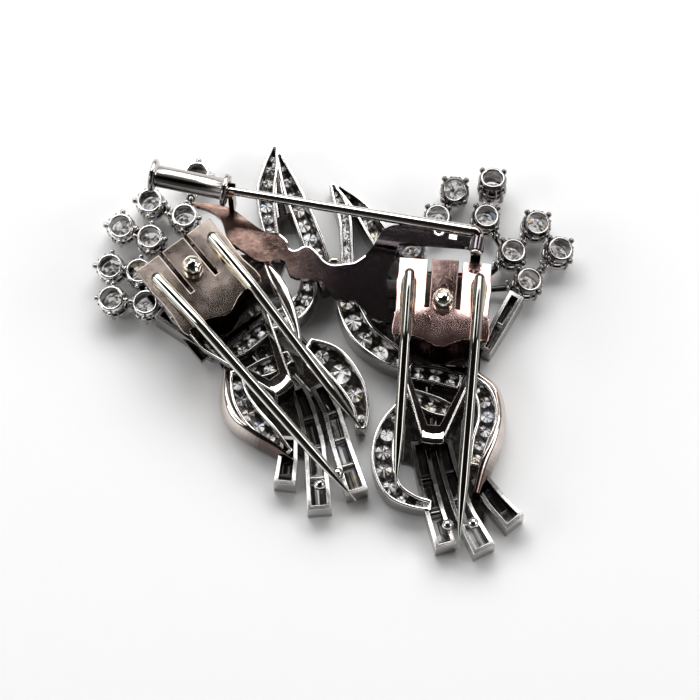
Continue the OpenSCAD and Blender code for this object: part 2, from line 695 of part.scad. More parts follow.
module flap(outer_l, inner_l, outer_tip, ball_y) {
    edge = [for (p = FLAP_EDGE) [p[0] * half_flap / 100, -p[1] * flap_l / 100]];
    other = [for (i = [len(edge) - 2 : -1 : 0]) [-edge[i][0], edge[i][1]]];
    color([0.8, 0.76, 0.74])
        difference() {
            union() {
                translate([0, 0, flap_z])
                    linear_extrude(flap_t)
                        polygon(concat(edge, other));
                // Cheeks turned down at the sides, which carry the axle
                for (s = [-1, 1])
                    translate([s > 0 ? half_flap - flap_t : -half_flap, -axle_y, axle_z]) {
                        translate([0, -cheek_w / 2, 0])
                            cube([flap_t, cheek_w, axle_drop + weld]);
                        rotate([0, 90, 0])
                            cylinder(r = cheek_r, h = flap_t);
                    }
                prong(1, outer_l, outer_tip);
                prong(-1, inner_l, -prong_gap / 2 + 0.3);
            }
            for (s = [-1, 1])
                translate([s > 0 ? tongue_w / 2 : -tongue_w / 2 - slot_w, -slot_l, flap_z - over])
                    cube([slot_w, slot_l + over, flap_t + 2 * over]);
            translate([0, -ball_y, flap_z - over])
                cylinder(d = shank_d + 2 * fit, h = flap_t + 2 * over);
            translate([-half_flap - over, -axle_y, axle_z])
                rotate([0, 90, 0])
                    cylinder(d = axle_d + 2 * run, h = flap_w + 2 * over);
        }
}

// Ball rivet through the tongue, with its flat head underneath
module rivet(ball_y) {
    color([0.86, 0.85, 0.84])
        translate([0, -ball_y, 0]) {
            intersection() {
                translate([0, 0, flap_top + fit + 0.35 * ball_d])
                    sphere(d = ball_d);
                translate([-ball_d, -ball_d, flap_top + fit])
                    cube([2 * ball_d, 2 * ball_d, 2 * ball_d]);
            }
            translate([0, 0, flap_z - fit - 0.4])
                cylinder(d = shank_d, h = flap_t + 2 * fit + 0.8);
            translate([0, 0, flap_z - fit - 0.5])
                cylinder(d = rivet_head_d, h = 0.5);
        }
}

module axle() {
    color([0.72, 0.71, 0.7])
        translate([-half_flap - 0.1, -axle_y, axle_z])
            rotate([0, 90, 0])
                cylinder(d = axle_d, h = flap_w + 0.2);
}

module place_left() {
    translate([left_home[0], left_home[1], 0])
        rotate([0, 0, left_turn])
            mirror([1, 0, 0])
                children();
}

module place_right() {
    translate([right_home[0], right_home[1], 0])
        rotate([0, 0, right_turn])
            children();
}

module pin_line() {
    translate([joint[0], joint[1], pin_z])
        rotate([0, 0, pin_a])
            children();
}

module barrel_line() {
    translate([mouth[0], mouth[1], pin_z])
        rotate([0, 0, pin_a - barrel_turn])
            children();
}

module brooch_frame() {
    upper = smooth(FRAME_UPPER * frame_l / 100);
    lower = smooth(FRAME_LOWER * frame_l / 100);
    side_edge = FRAME_SIDE * frame_l / 100;
    back = concat(
        [for (i = [len(side_edge) - 1 : -1 : 0]) side_edge[i]],
        [for (i = [len(lower) - 1 : -1 : 0]) lower[i]]);
    color([0.55, 0.42, 0.38])
        difference() {
            union() {
                translate([0, 0, plate_z])
                    linear_extrude(frame_t)
                        polygon(concat(upper, back));
                // Stand and knuckle of the pin joint
                pin_line() {
                    translate([-stand_w / 2, knuckle_y, plate_z - pin_z])
                        cube([stand_w, knuckle_l, pin_z - plate_z]);
                    translate([-stand_w / 2, -stand_w, plate_z - pin_z])
                        cube([stand_w, knuckle_y + stand_w + weld, frame_t]);
                    translate([0, knuckle_y, 0])
                        rotate([-90, 0, 0])
                            cylinder(d = leg_d + 2 * knuckle_wall, h = knuckle_l);
                }
                // Tube of the catch, its stand and foot
                barrel_line() {
                    translate([-mouth_l, 0, 0])
                        rotate([0, 90, 0])
                            cylinder(r = tube_r, h = mouth_l + barrel_l - flange_t);
                    translate([-mouth_l, -stand_w / 2, plate_z - pin_z])
                        cube([mouth_l - 0.1, stand_w, pin_z - plate_z - tube_r + 0.28]);
                    translate([-mouth_l, -stand_w / 2, plate_z - pin_z])
                        cube([mouth_l - 0.1, 2 * stand_w, frame_t]);
                }
            }
            pin_line()
                rotate([-90, 0, 0])
                    cylinder(d = leg_d + 2 * run, h = knuckle_y + knuckle_l + over);
            barrel_line() {
                translate([-mouth_l - over, 0, 0])
                    rotate([0, 90, 0])
                        cylinder(r = tube_bore, h = barrel_l + 2 * over);
                // Way out for the pin, which the barrel's travel lays open
                translate([-mouth_l - over, -pin_tip_d / 2 - way_gap, 0])
                    cube([mouth_l + slide_travel + 0.4, pin_tip_d + 2 * way_gap, flange_d]);
            }
            // Blind sockets of the hidden posts
            place_left()
                translate([post_at[0], post_at[1], plate_z - over])
                    cylinder(d = post_d + 2 * fit, h = over + frame_t / 2 + fit);
            place_right()
                translate([post_at[0], post_at[1], plate_z - over])
                    cylinder(d = post_d + 2 * fit, h = over + frame_t / 2 + fit);
        }
}

module brooch_pin() {
    leg = knuckle_y + knuckle_l + weld;
    color([0.7, 0.69, 0.68])
        pin_line() {
            sphere(d = pin_d + bulge);
            rotate([0, 90, 0]) {
                cylinder(d1 = pin_d, d2 = pin_tip_d, h = pin_l);
                translate([0, 0, pin_l])
                    cylinder(d1 = pin_tip_d, d2 = pin_point, h = pin_in);
            }
            rotate([-90, 0, 0]) {
                cylinder(d = leg_d, h = leg + head_t - weld);
                translate([0, 0, leg])
                    cylinder(d = leg_d + 2 * head_out, h = head_t);
            }
        }
}

// Barrel with two flanges and a closed end, which slides on the catch's tube
module catch_slide() {
    color([0.78, 0.77, 0.76])
        barrel_line()
            rotate([0, 90, 0])
                difference() {
                    union() {
                        cylinder(d = barrel_d, h = barrel_l);
                        cylinder(d = flange_d, h = flange_t);
                        translate([0, 0, barrel_l - flange_t])
                            cylinder(d = flange_d, h = flange_t);
                    }
                    translate([0, 0, -over])
                        cylinder(r = tube_r + slide_gap, h = over + barrel_l - flange_t + 0.2);
                }
}

module left_mount() {
    place_left()
        mount(LEFT_ROUNDS, LEFT_RIBBONS, LEFT_BAND, LEFT_BARS, LEFT_TIES, LEFT_STOPS);
}

module right_mount() {
    place_right()
        mount(RIGHT_ROUNDS, RIGHT_RIBBONS, RIGHT_BAND, RIGHT_BARS, RIGHT_TIES, RIGHT_STOPS);
}

module left_pave() {
    place_left()
        pave(LEFT_RIBBONS);
}

module right_pave() {
    place_right()
        pave(RIGHT_RIBBONS);
}

module left_baguettes() {
    place_left()
        baguettes(LEFT_BARS);
}

module right_baguettes() {
    place_right()
        baguettes(RIGHT_BARS);
}

module left_flap() {
    place_left()
        flap(left_outer_l, left_inner_l, left_tip_x, left_ball_y);
}

module right_flap() {
    place_right()
        flap(right_outer_l, right_inner_l, right_tip_x, right_ball_y);
}

module left_rivet() {
    place_left()
        rivet(left_ball_y);
}

module right_rivet() {
    place_right()
        rivet(right_ball_y);
}

module left_axle() {
    place_left()
        axle();
}

module right_axle() {
    place_right()
        axle();
}

module left_post() {
    place_left()
        post();
}

module right_post() {
    place_right()
        post();
}

module left_stone(i) {
    place_left()
        main_stone(LEFT_ROUNDS[i - 1]);
}

module right_stone(i) {
    place_right()
        main_stone(RIGHT_ROUNDS[i - 1]);
}

left_mount();
right_mount();
left_pave();
right_pave();
left_baguettes();
right_baguettes();
left_flap();
right_flap();
left_rivet();
right_rivet();
left_axle();
right_axle();
left_post();
right_post();
brooch_frame();
brooch_pin();
catch_slide();
left_stone(1);  // left_stone_1
left_stone(2);  // left_stone_2
left_stone(3);  // left_stone_3
left_stone(4);  // left_stone_4
left_stone(5);  // left_stone_5
left_stone(6);  // left_stone_6
left_stone(7);  // left_stone_7
left_stone(8);  // left_stone_8
left_stone(9);  // left_stone_9
right_stone(1);  // right_stone_1
right_stone(2);  // right_stone_2
right_stone(3);  // right_stone_3
right_stone(4);  // right_stone_4
right_stone(5);  // right_stone_5
right_stone(6);  // right_stone_6
right_stone(7);  // right_stone_7
right_stone(8);  // right_stone_8
right_stone(9);  // right_stone_9
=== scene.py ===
"""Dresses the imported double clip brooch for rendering.

Two diamond spray clips lie face down on a white surface, with their sprung flaps and prongs up. A
wavy frame plate joins them and carries the brooch pin and its tube catch. Sizes are in millimetres,
and a clip's places are in its own frame, as in the part's source, until Shape.build turns them into
metres in the row frame.
"""

import logging
import math
import random
from collections.abc import Callable
from dataclasses import dataclass, field
from enum import Enum
from typing import ClassVar

import bmesh
import bpy
from mathutils import Matrix, Vector, noise


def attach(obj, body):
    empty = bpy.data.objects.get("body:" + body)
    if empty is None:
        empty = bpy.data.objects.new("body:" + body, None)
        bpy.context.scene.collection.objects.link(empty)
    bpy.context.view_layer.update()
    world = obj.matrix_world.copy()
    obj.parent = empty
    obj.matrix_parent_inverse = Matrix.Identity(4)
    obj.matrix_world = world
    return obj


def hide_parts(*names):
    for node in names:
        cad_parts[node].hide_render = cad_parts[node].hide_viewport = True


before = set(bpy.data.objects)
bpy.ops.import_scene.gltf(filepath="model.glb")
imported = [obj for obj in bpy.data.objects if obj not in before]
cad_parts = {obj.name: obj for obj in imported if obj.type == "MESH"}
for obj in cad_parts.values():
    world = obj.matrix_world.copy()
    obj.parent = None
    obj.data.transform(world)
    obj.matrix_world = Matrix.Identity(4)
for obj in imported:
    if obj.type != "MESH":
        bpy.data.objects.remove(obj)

LOG = logging.getLogger("brooch")
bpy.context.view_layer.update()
MM = 0.001

# Heights above the resting surface: the ribbons' lower edge and floor, the spray's full height, the
# base plate, the flap's sheet, the flap's axle, the frame plate's upper face and the pin
FRONT_Z = 0.5
FLOOR_Z = 1.3
SPRAY_H = 4.2
BASE_Z = 5.3
BASE_TOP = 6.1
FLAP_Z = 9.4
FLAP_TOP = 10.0
AXLE_Z = 8.0
PLATE_TOP = 7.12
PIN_Z = 12.32

# Sizes that more than one piece uses: a hundredth of a clip, the frame's length, the ribbons' wall, the
# metal between two stones, and the room round a stone
SHARE = 0.5
FRAME_L = 38.0
WALL = 0.5
BEAD = 0.45
FIT = 0.12

# A row of a table, or a point of a section
Row = tuple[float, ...]
Colour = tuple[float, float, float]
Socket = bpy.types.NodeSocket


class Body(Enum):
    """The moving bodies of the brooch."""

    BROOCH = "brooch"
    LEFT_CLIP = "left_clip"
    RIGHT_CLIP = "right_clip"
    PIN = "pin"
    CATCH = "catch"


class Slot(Enum):
    """The record's material slots."""

    SETTING = "setting_metal"
    FLAP = "flap_metal"
    RIVET = "rivet_metal"
    WIRE = "wire_metal"
    FRAME = "frame_metal"
    CATCH = "catch_metal"
    ROUND = "round_stone"
    PAVE = "pave_stone"
    BAGUETTE = "baguette_stone"


# Curves


def spline(rows: list[Row], n: int) -> list[Row]:
    """Smooths a table with a curve through its rows.

    Args:
        rows: Rows of equal length.
        n: Steps between two rows.

    Returns:
        The rows of the smoothed table.
    """
    last = len(rows) - 1
    out: list[Row] = []
    for i in range(last):
        near = rows[max(i - 1, 0)], rows[i], rows[i + 1], rows[min(i + 2, last)]
        for t in (k / n for k in range(n)):
            out.append(tuple(
                (2 * q + (r - p) * t + (2 * p - 5 * q + 4 * r - s) * t * t
                 + (3 * q - p - 3 * r + s) * t ** 3) / 2
                for p, q, r, s in zip(*near)))
    out.append(tuple(rows[last]))
    return out


class Path:
    """A run of x, y, half width and height, read at a share of its length."""

    def __init__(self, rows: list[Row], n: int) -> None:
        """Smooths the rows of a spray table, in hundredths, into millimetres.

        Args:
            rows: Across, along, half width in hundredths of the clip, and height in hundredths.
            n: Steps between two rows.
        """
        self.points = [(x * SHARE, y * SHARE, w * SHARE, h * SPRAY_H / 100)
                       for x, y, w, h in spline(rows, n)]
        self.marks = [0.0]
        for a, b in zip(self.points, self.points[1:]):
            self.marks.append(self.marks[-1] + math.hypot(b[0] - a[0], b[1] - a[1]))
        self.length = self.marks[-1]

    def at(self, share: float) -> tuple[Vector, Vector, float, float]:
        """Gives the place, heading, half width and height at a share of the length.

        Args:
            share: Share of the length, held between 0 and 1.

        Returns:
            Place, heading, half width and height.
        """
        last = len(self.points) - 1
        run = min(max(share, 0.0), 1.0) * self.length
        i = max(k for k in range(last) if self.marks[k] <= run + 1e-9)
        t = (run - self.marks[i]) / (self.marks[i + 1] - self.marks[i])
        a, b = self.points[i], self.points[i + 1]
        x, y, w, z = (p + (q - p) * t for p, q in zip(a, b))
        before = self.points[max(i - 1, 0)] if t < 0.5 else a
        after = b if t < 0.5 else self.points[min(i + 2, last)]
        way = Vector((after[0] - before[0], after[1] - before[1])).normalized()
        return Vector((x, y)), way, w, z

    def edge(self, share: float, side: int, inset: float = 0.0) -> Vector:
        """Gives the point at height on one edge, moved in by inset but never past the middle.

        Args:
            share: Share of the length.
            side: 1 for the left edge and -1 for the right one.
            inset: How far in, in millimetres.

        Returns:
            The point.
        """
        spot, way, w, z = self.at(share)
        out = side * max(w - inset, 0.2 * w)
        return Vector((spot.x - way.y * out, spot.y + way.x * out, z))


# Meshes


def circle(n: int) -> list[tuple[float, float]]:
    """Gives the cosine and sine of n equal turns."""
    return [(math.cos(2 * math.pi * k / n), math.sin(2 * math.pi * k / n)) for k in range(n)]


class Shape:
    """A mesh in the making, in millimetres, with the placement that new pieces take."""

    def __init__(self, home: Matrix | None = None) -> None:
        """Starts an empty shape.

        Args:
            home: Where the whole shape goes in the row frame.
        """
        self.home = home or Matrix.Identity(4)
        self.place = Matrix.Identity(4)
        # A face's tone: on metal the light left by its painted shade, on stones its painted glint
        self.tone = 1.0
        self.verts: list[Vector] = []
        self.faces: list[tuple[int, ...]] = []
        self.tones: list[float] = []

    def add(self, verts: list[Vector], faces: list[tuple[int, ...]],
            tones: list[float] | None = None) -> None:
        """Adds vertices and faces, with a tone for each face where they differ.

        Args:
            verts: Places, before the placement is applied.
            faces: Indices into verts.
            tones: Tone of each face, where it isn't the shape's own.
        """
        base = len(self.verts)
        self.verts += [self.place @ Vector(v) for v in verts]
        self.faces += [tuple(base + i for i in f) for f in faces]
        self.tones += tones or [self.tone] * len(faces)

    def loft(self, rings: list[list[Vector]], wrap: bool = False, tones: list[float] | None = None) -> None:
        """Joins closed rings of equal count in turn, and closes both ends of an open run.

        Args:
            rings: The rings, each a list of points.
            wrap: Joins the last ring to the first.
            tones: The tone of each face round a ring.
        """
        n, m = len(rings[0]), len(rings)
        faces: list[tuple[int, ...]] = []
        shades: list[float] = []
        for i in range(m if wrap else m - 1):
            a, b = i * n, (i + 1) % m * n
            faces += [(a + k, a + (k + 1) % n, b + (k + 1) % n, b + k) for k in range(n)]
            shades += tones or [self.tone] * n
        if not wrap:
            faces += [tuple(range(n))[::-1], tuple((m - 1) * n + k for k in range(n))]
            shades += [self.tone] * 2
        self.add([p for r in rings for p in r], faces, shades)

    def fade(self, first: int, share: Callable[[Vector], float]) -> None:
        """Paints shade by place: changes the tone of the faces from an index on by what share says of each
        face's middle.

        Args:
            first: Index of the first face.
            share: Gives the factor at a face's middle.
        """
        for i in range(first, len(self.faces)):
            face = self.faces[i]
            self.tones[i] *= share(sum((self.verts[k] for k in face), Vector()) / len(face))

    def lathe(self, profile: list[Row], sides: int = 28, wrap: bool = True) -> None:
        """Turns a profile about the placement's own Z.

        Args:
            profile: Radius, height and, where it isn't the shape's own, the tone up to the next point.
            sides: Sides of the turned shape.
            wrap: Joins the profile's end to its start.
        """
        turns = circle(sides)
        first = len(self.faces)
        self.loft([[Vector((p[0] * c, p[0] * s, p[1])) for c, s in turns] for p in profile], wrap)
        for i, p in enumerate(profile):
            if len(p) > 2 and first + (i + 1) * sides <= len(self.faces):
                self.tones[first + i * sides:first + (i + 1) * sides] = [p[2]] * sides

    def tube(self, points: list[Vector], radii: list[float], sides: int = 16, flat: float = 1.0) -> None:
        """Sweeps a round wire along points.

        Args:
            points: The middle of the wire.
            radii: Its radius at each point.
            sides: Sides of the section.
            flat: Height of the section as a share of its width.
        """
        rings: list[list[Vector]] = []
        up = Vector((0, 0, 1))
        for i, p in enumerate(points):
            way = (points[min(i + 1, len(points) - 1)] - points[max(i - 1, 0)]).normalized()
            if abs(way.z) > 0.95 and i == 0:
                up = Vector((0, 1, 0))
            side = way.cross(up).normalized()
            up = side.cross(way).normalized()
            rings.append([p + radii[i] * (side * c + up * s * flat) for c, s in circle(sides)])
        self.loft(rings)

    def slab(self, outline: list[Row], low: float, high: float) -> None:
        """Raises a flat outline between two heights."""
        self.loft([[Vector((p[0], p[1], z)) for p in outline] for z in (low, high)])

    def cell(self, outer: list[Vector], inner: list[list[Vector]], low: float) -> None:
        """Builds a plate with a hole, whose outer edge and hole have equal counts of points.

        Args:
            outer: The plate's outer edge at its upper face.
            inner: Rings of the hole from the upper face down.
            low: Height of the lower face.
        """
        under = [Vector((p[0], p[1], low)) for p in outer]
        self.loft([outer, *inner, under], wrap=True)

    def build(self, name: str, finish: "Finish", slot: Slot, body: Body, nodes: list[str],
              bevel: float = 0.0, sharp: float = 35.0) -> None:
        """Makes the object and ties it to the frame.

        Args:
            name: The piece's name.
            finish: The material finish.
            slot: The record's slot that it stands for; not used.
            body: The body that it rides on.
            nodes: The CAD nodes that it stands for.
            bevel: Width of the rounded edges in millimetres.
            sharp: Angle in degrees over which an edge stays sharp.
        """
        mesh = bpy.data.meshes.new(name)
        mesh.from_pydata([(self.home @ v) * MM for v in self.verts], [], self.faces)
        tone = mesh.attributes.new("tone", "FLOAT", "FACE")
        tone.data.foreach_set("value", self.tones)
        bm = bmesh.new()
        bm.from_mesh(mesh)
        bmesh.ops.remove_doubles(bm, verts=bm.verts, dist=0.002 * MM)
        bmesh.ops.recalc_face_normals(bm, faces=bm.faces)
        bm.to_mesh(mesh)
        bm.free()
        piece = bpy.data.objects.new(name, mesh)
        bpy.context.scene.collection.objects.link(piece)
        mesh.shade_smooth()
        mesh.set_sharp_from_angle(angle=math.radians(sharp))
        if bevel:
            round_edges(piece, bevel)
        mesh.materials.append(finish.material())
        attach(piece, body.value)
        if nodes:
            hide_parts(*nodes)
        LOG.info("%s: %d faces", name, len(mesh.polygons))


def round_edges(piece: bpy.types.Object, width: float, angle: float = 32.0) -> None:
    """Rounds a piece's sharp edges with a narrow bevel, so that they catch the light.

    Args:
        piece: The piece.
        width: Width in millimetres.
        angle: Angle in degrees over which an edge is rounded.
    """
    mod = piece.modifiers.new("edges", "BEVEL")
    mod.width = width * MM
    mod.segments = 2
    mod.limit_method = "ANGLE"
    mod.angle_limit = math.radians(angle)
    mod.harden_normals = True
    mod.use_clamp_overlap = True


# Finishes


def new_group(name: str, inputs: dict[str, object], outputs: tuple[str, ...]) -> bpy.types.ShaderNodeTree:
    """Starts a node group.

    Args:
        name: The group's name.
        inputs: The inputs' names and values, a colour where the value has parts.
        outputs: The outputs' names, a colour where it says so.

    Returns:
        The group, still without nodes.
    """
    group = bpy.data.node_groups.new(name, "ShaderNodeTree")
    for label, value in inputs.items():
        kind = "NodeSocketColor" if isinstance(value, tuple) else "NodeSocketFloat"
        group.interface.new_socket(label, in_out="INPUT", socket_type=kind).default_value = value
    for label in outputs:
        kind = "NodeSocketColor" if label == "Color" else "NodeSocketFloat"
        group.interface.new_socket(label, in_out="OUTPUT", socket_type=kind)
    return group


class Graph:
    """Short calls for placing and joining shader nodes."""

    def __init__(self, tree: bpy.types.ShaderNodeTree) -> None:
        """Works on one node tree."""
        self.tree = tree

    def node(self, kind: str, **values: object) -> bpy.types.ShaderNode:
        """Adds a node and sets its properties.

        Args:
            kind: The node's type without its prefix.
            values: The properties' values.

        Returns:
            The node.
        """
        made = self.tree.nodes.new(f"ShaderNode{kind}")
        for name, value in values.items():
            setattr(made, name, value)
        return made

    def join(self, source: Socket, target: Socket) -> None:
        """Links an output to an input."""
        self.tree.links.new(source, target)

    def feed(self, node: bpy.types.ShaderNode, **values: object) -> None:
        """Sets a node's inputs, or links them where the value is an output.

        Args:
            node: The node.
            values: The inputs' names, with _ for a space, and a number, a colour or an output each.
        """
        named = {s.name: s for s in node.inputs if s.enabled}
        for name, value in values.items():
            target = named[name.replace("_", " ")]
            if isinstance(value, Socket):
                self.join(value, target)
            else:
                target.default_value = (*value, 1.0) if isinstance(value, tuple) else value

    def place(self, parts: bool = False) -> Socket | bpy.types.ShaderNode:
        """Gives the place in object space, or a node with its separate parts.

        Args:
            parts: Gives a node with X, Y and Z instead.

        Returns:
            The place's output, or the node.
        """
        where = self.node("TexCoord").outputs["Object"]
        if not parts:
            return where
        split = self.node("SeparateXYZ")
        self.join(where, split.inputs[0])
        return split

    def tone(self) -> Socket:
        """Gives the tone that the mesh carries on each face: painted shade on metal, painted glints on
        stones.
        """
        return self.node("Attribute", attribute_name="tone").outputs["Fac"]

    def math(self, operation: str, *values: object) -> Socket:
        """Adds a maths node on numbers and outputs.

        Args:
            operation: The operation's name.
            values: A number or an output for each input.

        Returns:
            The result's output.
        """
        made = self.node("Math", operation=operation)
        for target, value in zip(made.inputs, values):
            if isinstance(value, Socket):
                self.join(value, target)
            else:
                target.default_value = value
        return made.outputs[0]

    def noise(self, where: Socket, scale: float, detail: float = 3.0, rough: float = 0.55) -> Socket:
        """Adds a noise texture and gives its value.

        Args:
            where: Place to read.
            scale: Cells to the metre.
            detail: Finer layers.
            rough: Strength of the finer layers.

        Returns:
            The value's output.
        """
        made = self.node("TexNoise")
        self.feed(made, Vector=where, Scale=scale, Detail=detail, Roughness=rough)
        return made.outputs["Fac"]

    def ramp(self, source: Socket, stops: list[tuple[float, Colour]], hold: bool = False) -> Socket:
        """Maps a value through colour stops.

        Args:
            source: Value to map.
            stops: Places and their colours.
            hold: Holds each colour up to the next stop.

        Returns:
            The colour's output.
        """
        made = self.node("ValToRGB")
        made.color_ramp.interpolation = "CONSTANT" if hold else "LINEAR"
        while len(made.color_ramp.elements) < len(stops):
            made.color_ramp.elements.new(0.5)
        for element, (place, tint) in zip(made.color_ramp.elements, stops):
            element.position = place
            element.color = (*tint, 1.0)
        self.join(source, made.inputs["Fac"])
        return made.outputs["Color"]

    def mix(self, share: object, a: object, b: object, blend: str = "MIX") -> Socket:
        """Mixes two colours by a share.

        Args:
            share: Share of the second colour.
            a: First colour.
            b: Second colour.
            blend: Way of mixing.

        Returns:
            The colour's output.
        """
        made = self.node("Mix", data_type="RGBA", blend_type=blend)
        self.feed(made, Factor=share, A=a, B=b)
        return next(s for s in made.outputs if s.enabled)

    def reach(self, source: Socket, low: float, high: float, to_low: object, to_high: object) -> Socket:
        """Maps a value from one range to another, with ends that are numbers or outputs.

        Args:
            source: Value to map.
            low: Lower end of its range.
            high: Upper end of its range.
            to_low: Result at the lower end.
            to_high: Result at the upper end.

        Returns:
            The result's output.
        """
        made = self.node("MapRange")
        self.feed(made, Value=source, From_Min=low, From_Max=high, To_Min=to_low, To_Max=to_high)
        return made.outputs["Result"]

    def stretched(self, where: Socket, scale: tuple[float, float, float], turn: float) -> Socket:
        """Turns a place about Z and stretches it, for grain that runs one way.

        Args:
            where: Place to stretch.
            scale: Factor along each axis.
            turn: Turn in radians.

        Returns:
            The place's output.
        """
        made = self.node("Mapping")
        made.inputs["Scale"].default_value = scale
        made.inputs["Rotation"].default_value = (0.0, 0.0, turn)
        self.join(where, made.inputs["Vector"])
        return made.outputs["Vector"]


# Cells to the metre of the wear on polished metal, and the scratches' stretch
SMUDGES = 260.0
CLOUDS = 900.0
SPECKS = 3200.0
SCRATCHES = (900.0, 120.0, 700.0)

# Painted glints: colours of a stone from its dark to its bright facets, and the painted fire of the few that
# flash orange or blue
WHITE = (1.0, 1.0, 1.0)
PAINTED_GLINT_STOPS = [(0.0, (0.012, 0.011, 0.01)), (0.3, (0.05, 0.046, 0.043)), (0.46, (0.2, 0.19, 0.185)),
               (0.62, (0.5, 0.49, 0.48)), (0.74, (0.95, 0.95, 0.95)), (1.0, WHITE)]
PAINTED_FIRE_STOPS = [(0.0, WHITE), (0.88, (1.0, 0.8, 0.52)), (0.93, (0.68, 0.8, 1.0)), (0.96, WHITE)]


def wear_group() -> bpy.types.ShaderNodeTree:
    """Makes the group that gives a polished metal its smudges, fine scratches and specks.

    Returns:
        The group, made on first use.
    """
    name = "polish_wear"
    if name in bpy.data.node_groups:
        return bpy.data.node_groups[name]
    inputs = {"Color": (0.8, 0.8, 0.8, 1.0), "Worn Color": (0.5, 0.5, 0.5, 1.0), "Wear": 0.3,
              "Roughness Low": 0.05, "Roughness High": 0.15, "Streaks": -0.15}
    group = new_group(name, inputs, ("Color", "Roughness", "Height"))
    g = Graph(group)
    source, target = group.nodes.new("NodeGroupInput").outputs, group.nodes.new("NodeGroupOutput").inputs
    where = g.place()
    smudge = g.noise(where, SMUDGES, 4.0)
    cloud = g.noise(where, CLOUDS, 5.0, 0.65)
    scratch = g.noise(g.stretched(where, SCRATCHES, 0.6), 3.0, 2.0)
    specks = g.noise(where, SPECKS, 2.0)
    worn = g.math("MULTIPLY", g.reach(cloud, 0.42, 0.68, 0.0, 1.0), source["Wear"])
    speck = g.math("MULTIPLY", g.reach(specks, 0.6, 0.65, 0.0, 1.0), source["Wear"])
    both = g.math("MAXIMUM", worn, speck)
    g.join(g.mix(both, source["Color"], source["Worn Color"]), target["Color"])
    rough = g.reach(smudge, 0.35, 0.7, source["Roughness Low"], source["Roughness High"])
    g.join(rough, target["Roughness"])
    lines = g.reach(scratch, 0.6, 0.64, 0.0, 1.0)
    g.join(g.math("MULTIPLY_ADD", lines, source["Streaks"], cloud), target["Height"])
    return group


def facet_group() -> bpy.types.ShaderNodeTree:
    """Makes the group that paints each facet of a stone with bright and dark glints.

    Returns:
        The group, made on first use.
    """
    name = "facet_glints"
    if name in bpy.data.node_groups:
        return bpy.data.node_groups[name]
    group = new_group(name, {"Glint Size": 0.0004, "Glint Share": 0.62}, ("Color",))
    g = Graph(group)
    source, target = group.nodes.new("NodeGroupInput").outputs, group.nodes.new("NodeGroupOutput").inputs
    cells = g.node("TexVoronoi", feature="F1")
    g.feed(cells, Vector=g.place(), Scale=g.math("DIVIDE", 1.0, source["Glint Size"]))
    luck = g.node("SeparateColor")
    g.join(cells.outputs["Color"], luck.inputs[0])
    glints = g.math("MULTIPLY", luck.outputs[0], source["Glint Share"])
    rest = g.reach(source["Glint Share"], 0.0, 1.0, 1.0, 0.0)
    plain = g.ramp(g.math("MULTIPLY_ADD", g.tone(), rest, glints), PAINTED_GLINT_STOPS)
    fire = g.ramp(luck.outputs[1], PAINTED_FIRE_STOPS, hold=True)
    g.join(g.mix(1.0, plain, fire, "MULTIPLY"), target["Color"])
    return group


class Finish:
    """A finish that makes its material once."""

    name: str

    def material(self) -> bpy.types.Material:
        """Gives the finish's material, made on first use.

        Returns:
            The material.
        """
        if self.name in bpy.data.materials:
            return bpy.data.materials[self.name]
        made = bpy.data.materials.new(self.name)
        made.use_nodes = True
        self.dress(Graph(made.node_tree), made.node_tree.nodes["Principled BSDF"])
        return made

    def dress(self, g: Graph, shader: bpy.types.ShaderNode) -> None:
        """Sets the shader's sockets."""
        raise NotImplementedError


@dataclass(frozen=True)
class Metal(Finish):
    """A polished metal with its smudges, scratches and tarnish, painted shade from each face's tone, and a
    painted reflection tint from some X on.
    """

    name: str
    tint: Colour
    worn: Colour
    wear: float = 0.3
    smooth: float = 0.04
    rough: float = 0.14
    bump: float = 0.05
    # The colour that a face of tone 0 takes: painted shade
    painted_shade_colour: Colour = (0.1, 0.09, 0.085)
    streaks: float = -0.15
    # A second tint from some X on, with its roughness, that paints a reflection
    painted_far_reflection: Colour | None = None
    far_smooth: float = 0.05
    far_from: float = 0.0
    far_to: float = 0.01
    relief: float = 0.00004

    def dress(self, g: Graph, shader: bpy.types.ShaderNode) -> None:
        """Feeds the wear group into the metal's sockets, with the painted shade and the painted reflection
        tint.

        Args:
            g: The material's nodes.
            shader: Its Principled BSDF.
        """
        wear = g.node("Group", node_tree=wear_group())
        g.feed(wear, Color=self.tint, Worn_Color=self.worn, Wear=self.wear, Roughness_Low=self.smooth,
               Roughness_High=self.rough, Streaks=self.streaks)
        colour, rough = wear.outputs["Color"], wear.outputs["Roughness"]
        if self.painted_far_reflection:
            share = g.reach(g.place(parts=True).outputs["X"], self.far_from, self.far_to, 0.0, 1.0)
            colour = g.mix(share, colour, self.painted_far_reflection)
            rough = g.reach(share, 0.0, 1.0, rough, self.far_smooth)
        # Painted shade: each face's tone darkens the colour towards the shade colour
        painted_shade_ramp = g.ramp(g.tone(), [(0.0, self.painted_shade_colour), (1.0, WHITE)])
        bump = g.node("Bump")
        g.feed(bump, Strength=self.bump, Distance=self.relief, Height=wear.outputs["Height"])
        g.feed(shader, Base_Color=g.mix(1.0, colour, painted_shade_ramp, "MULTIPLY"), Roughness=rough,
               Normal=bump.outputs["Normal"], Metallic=1.0)


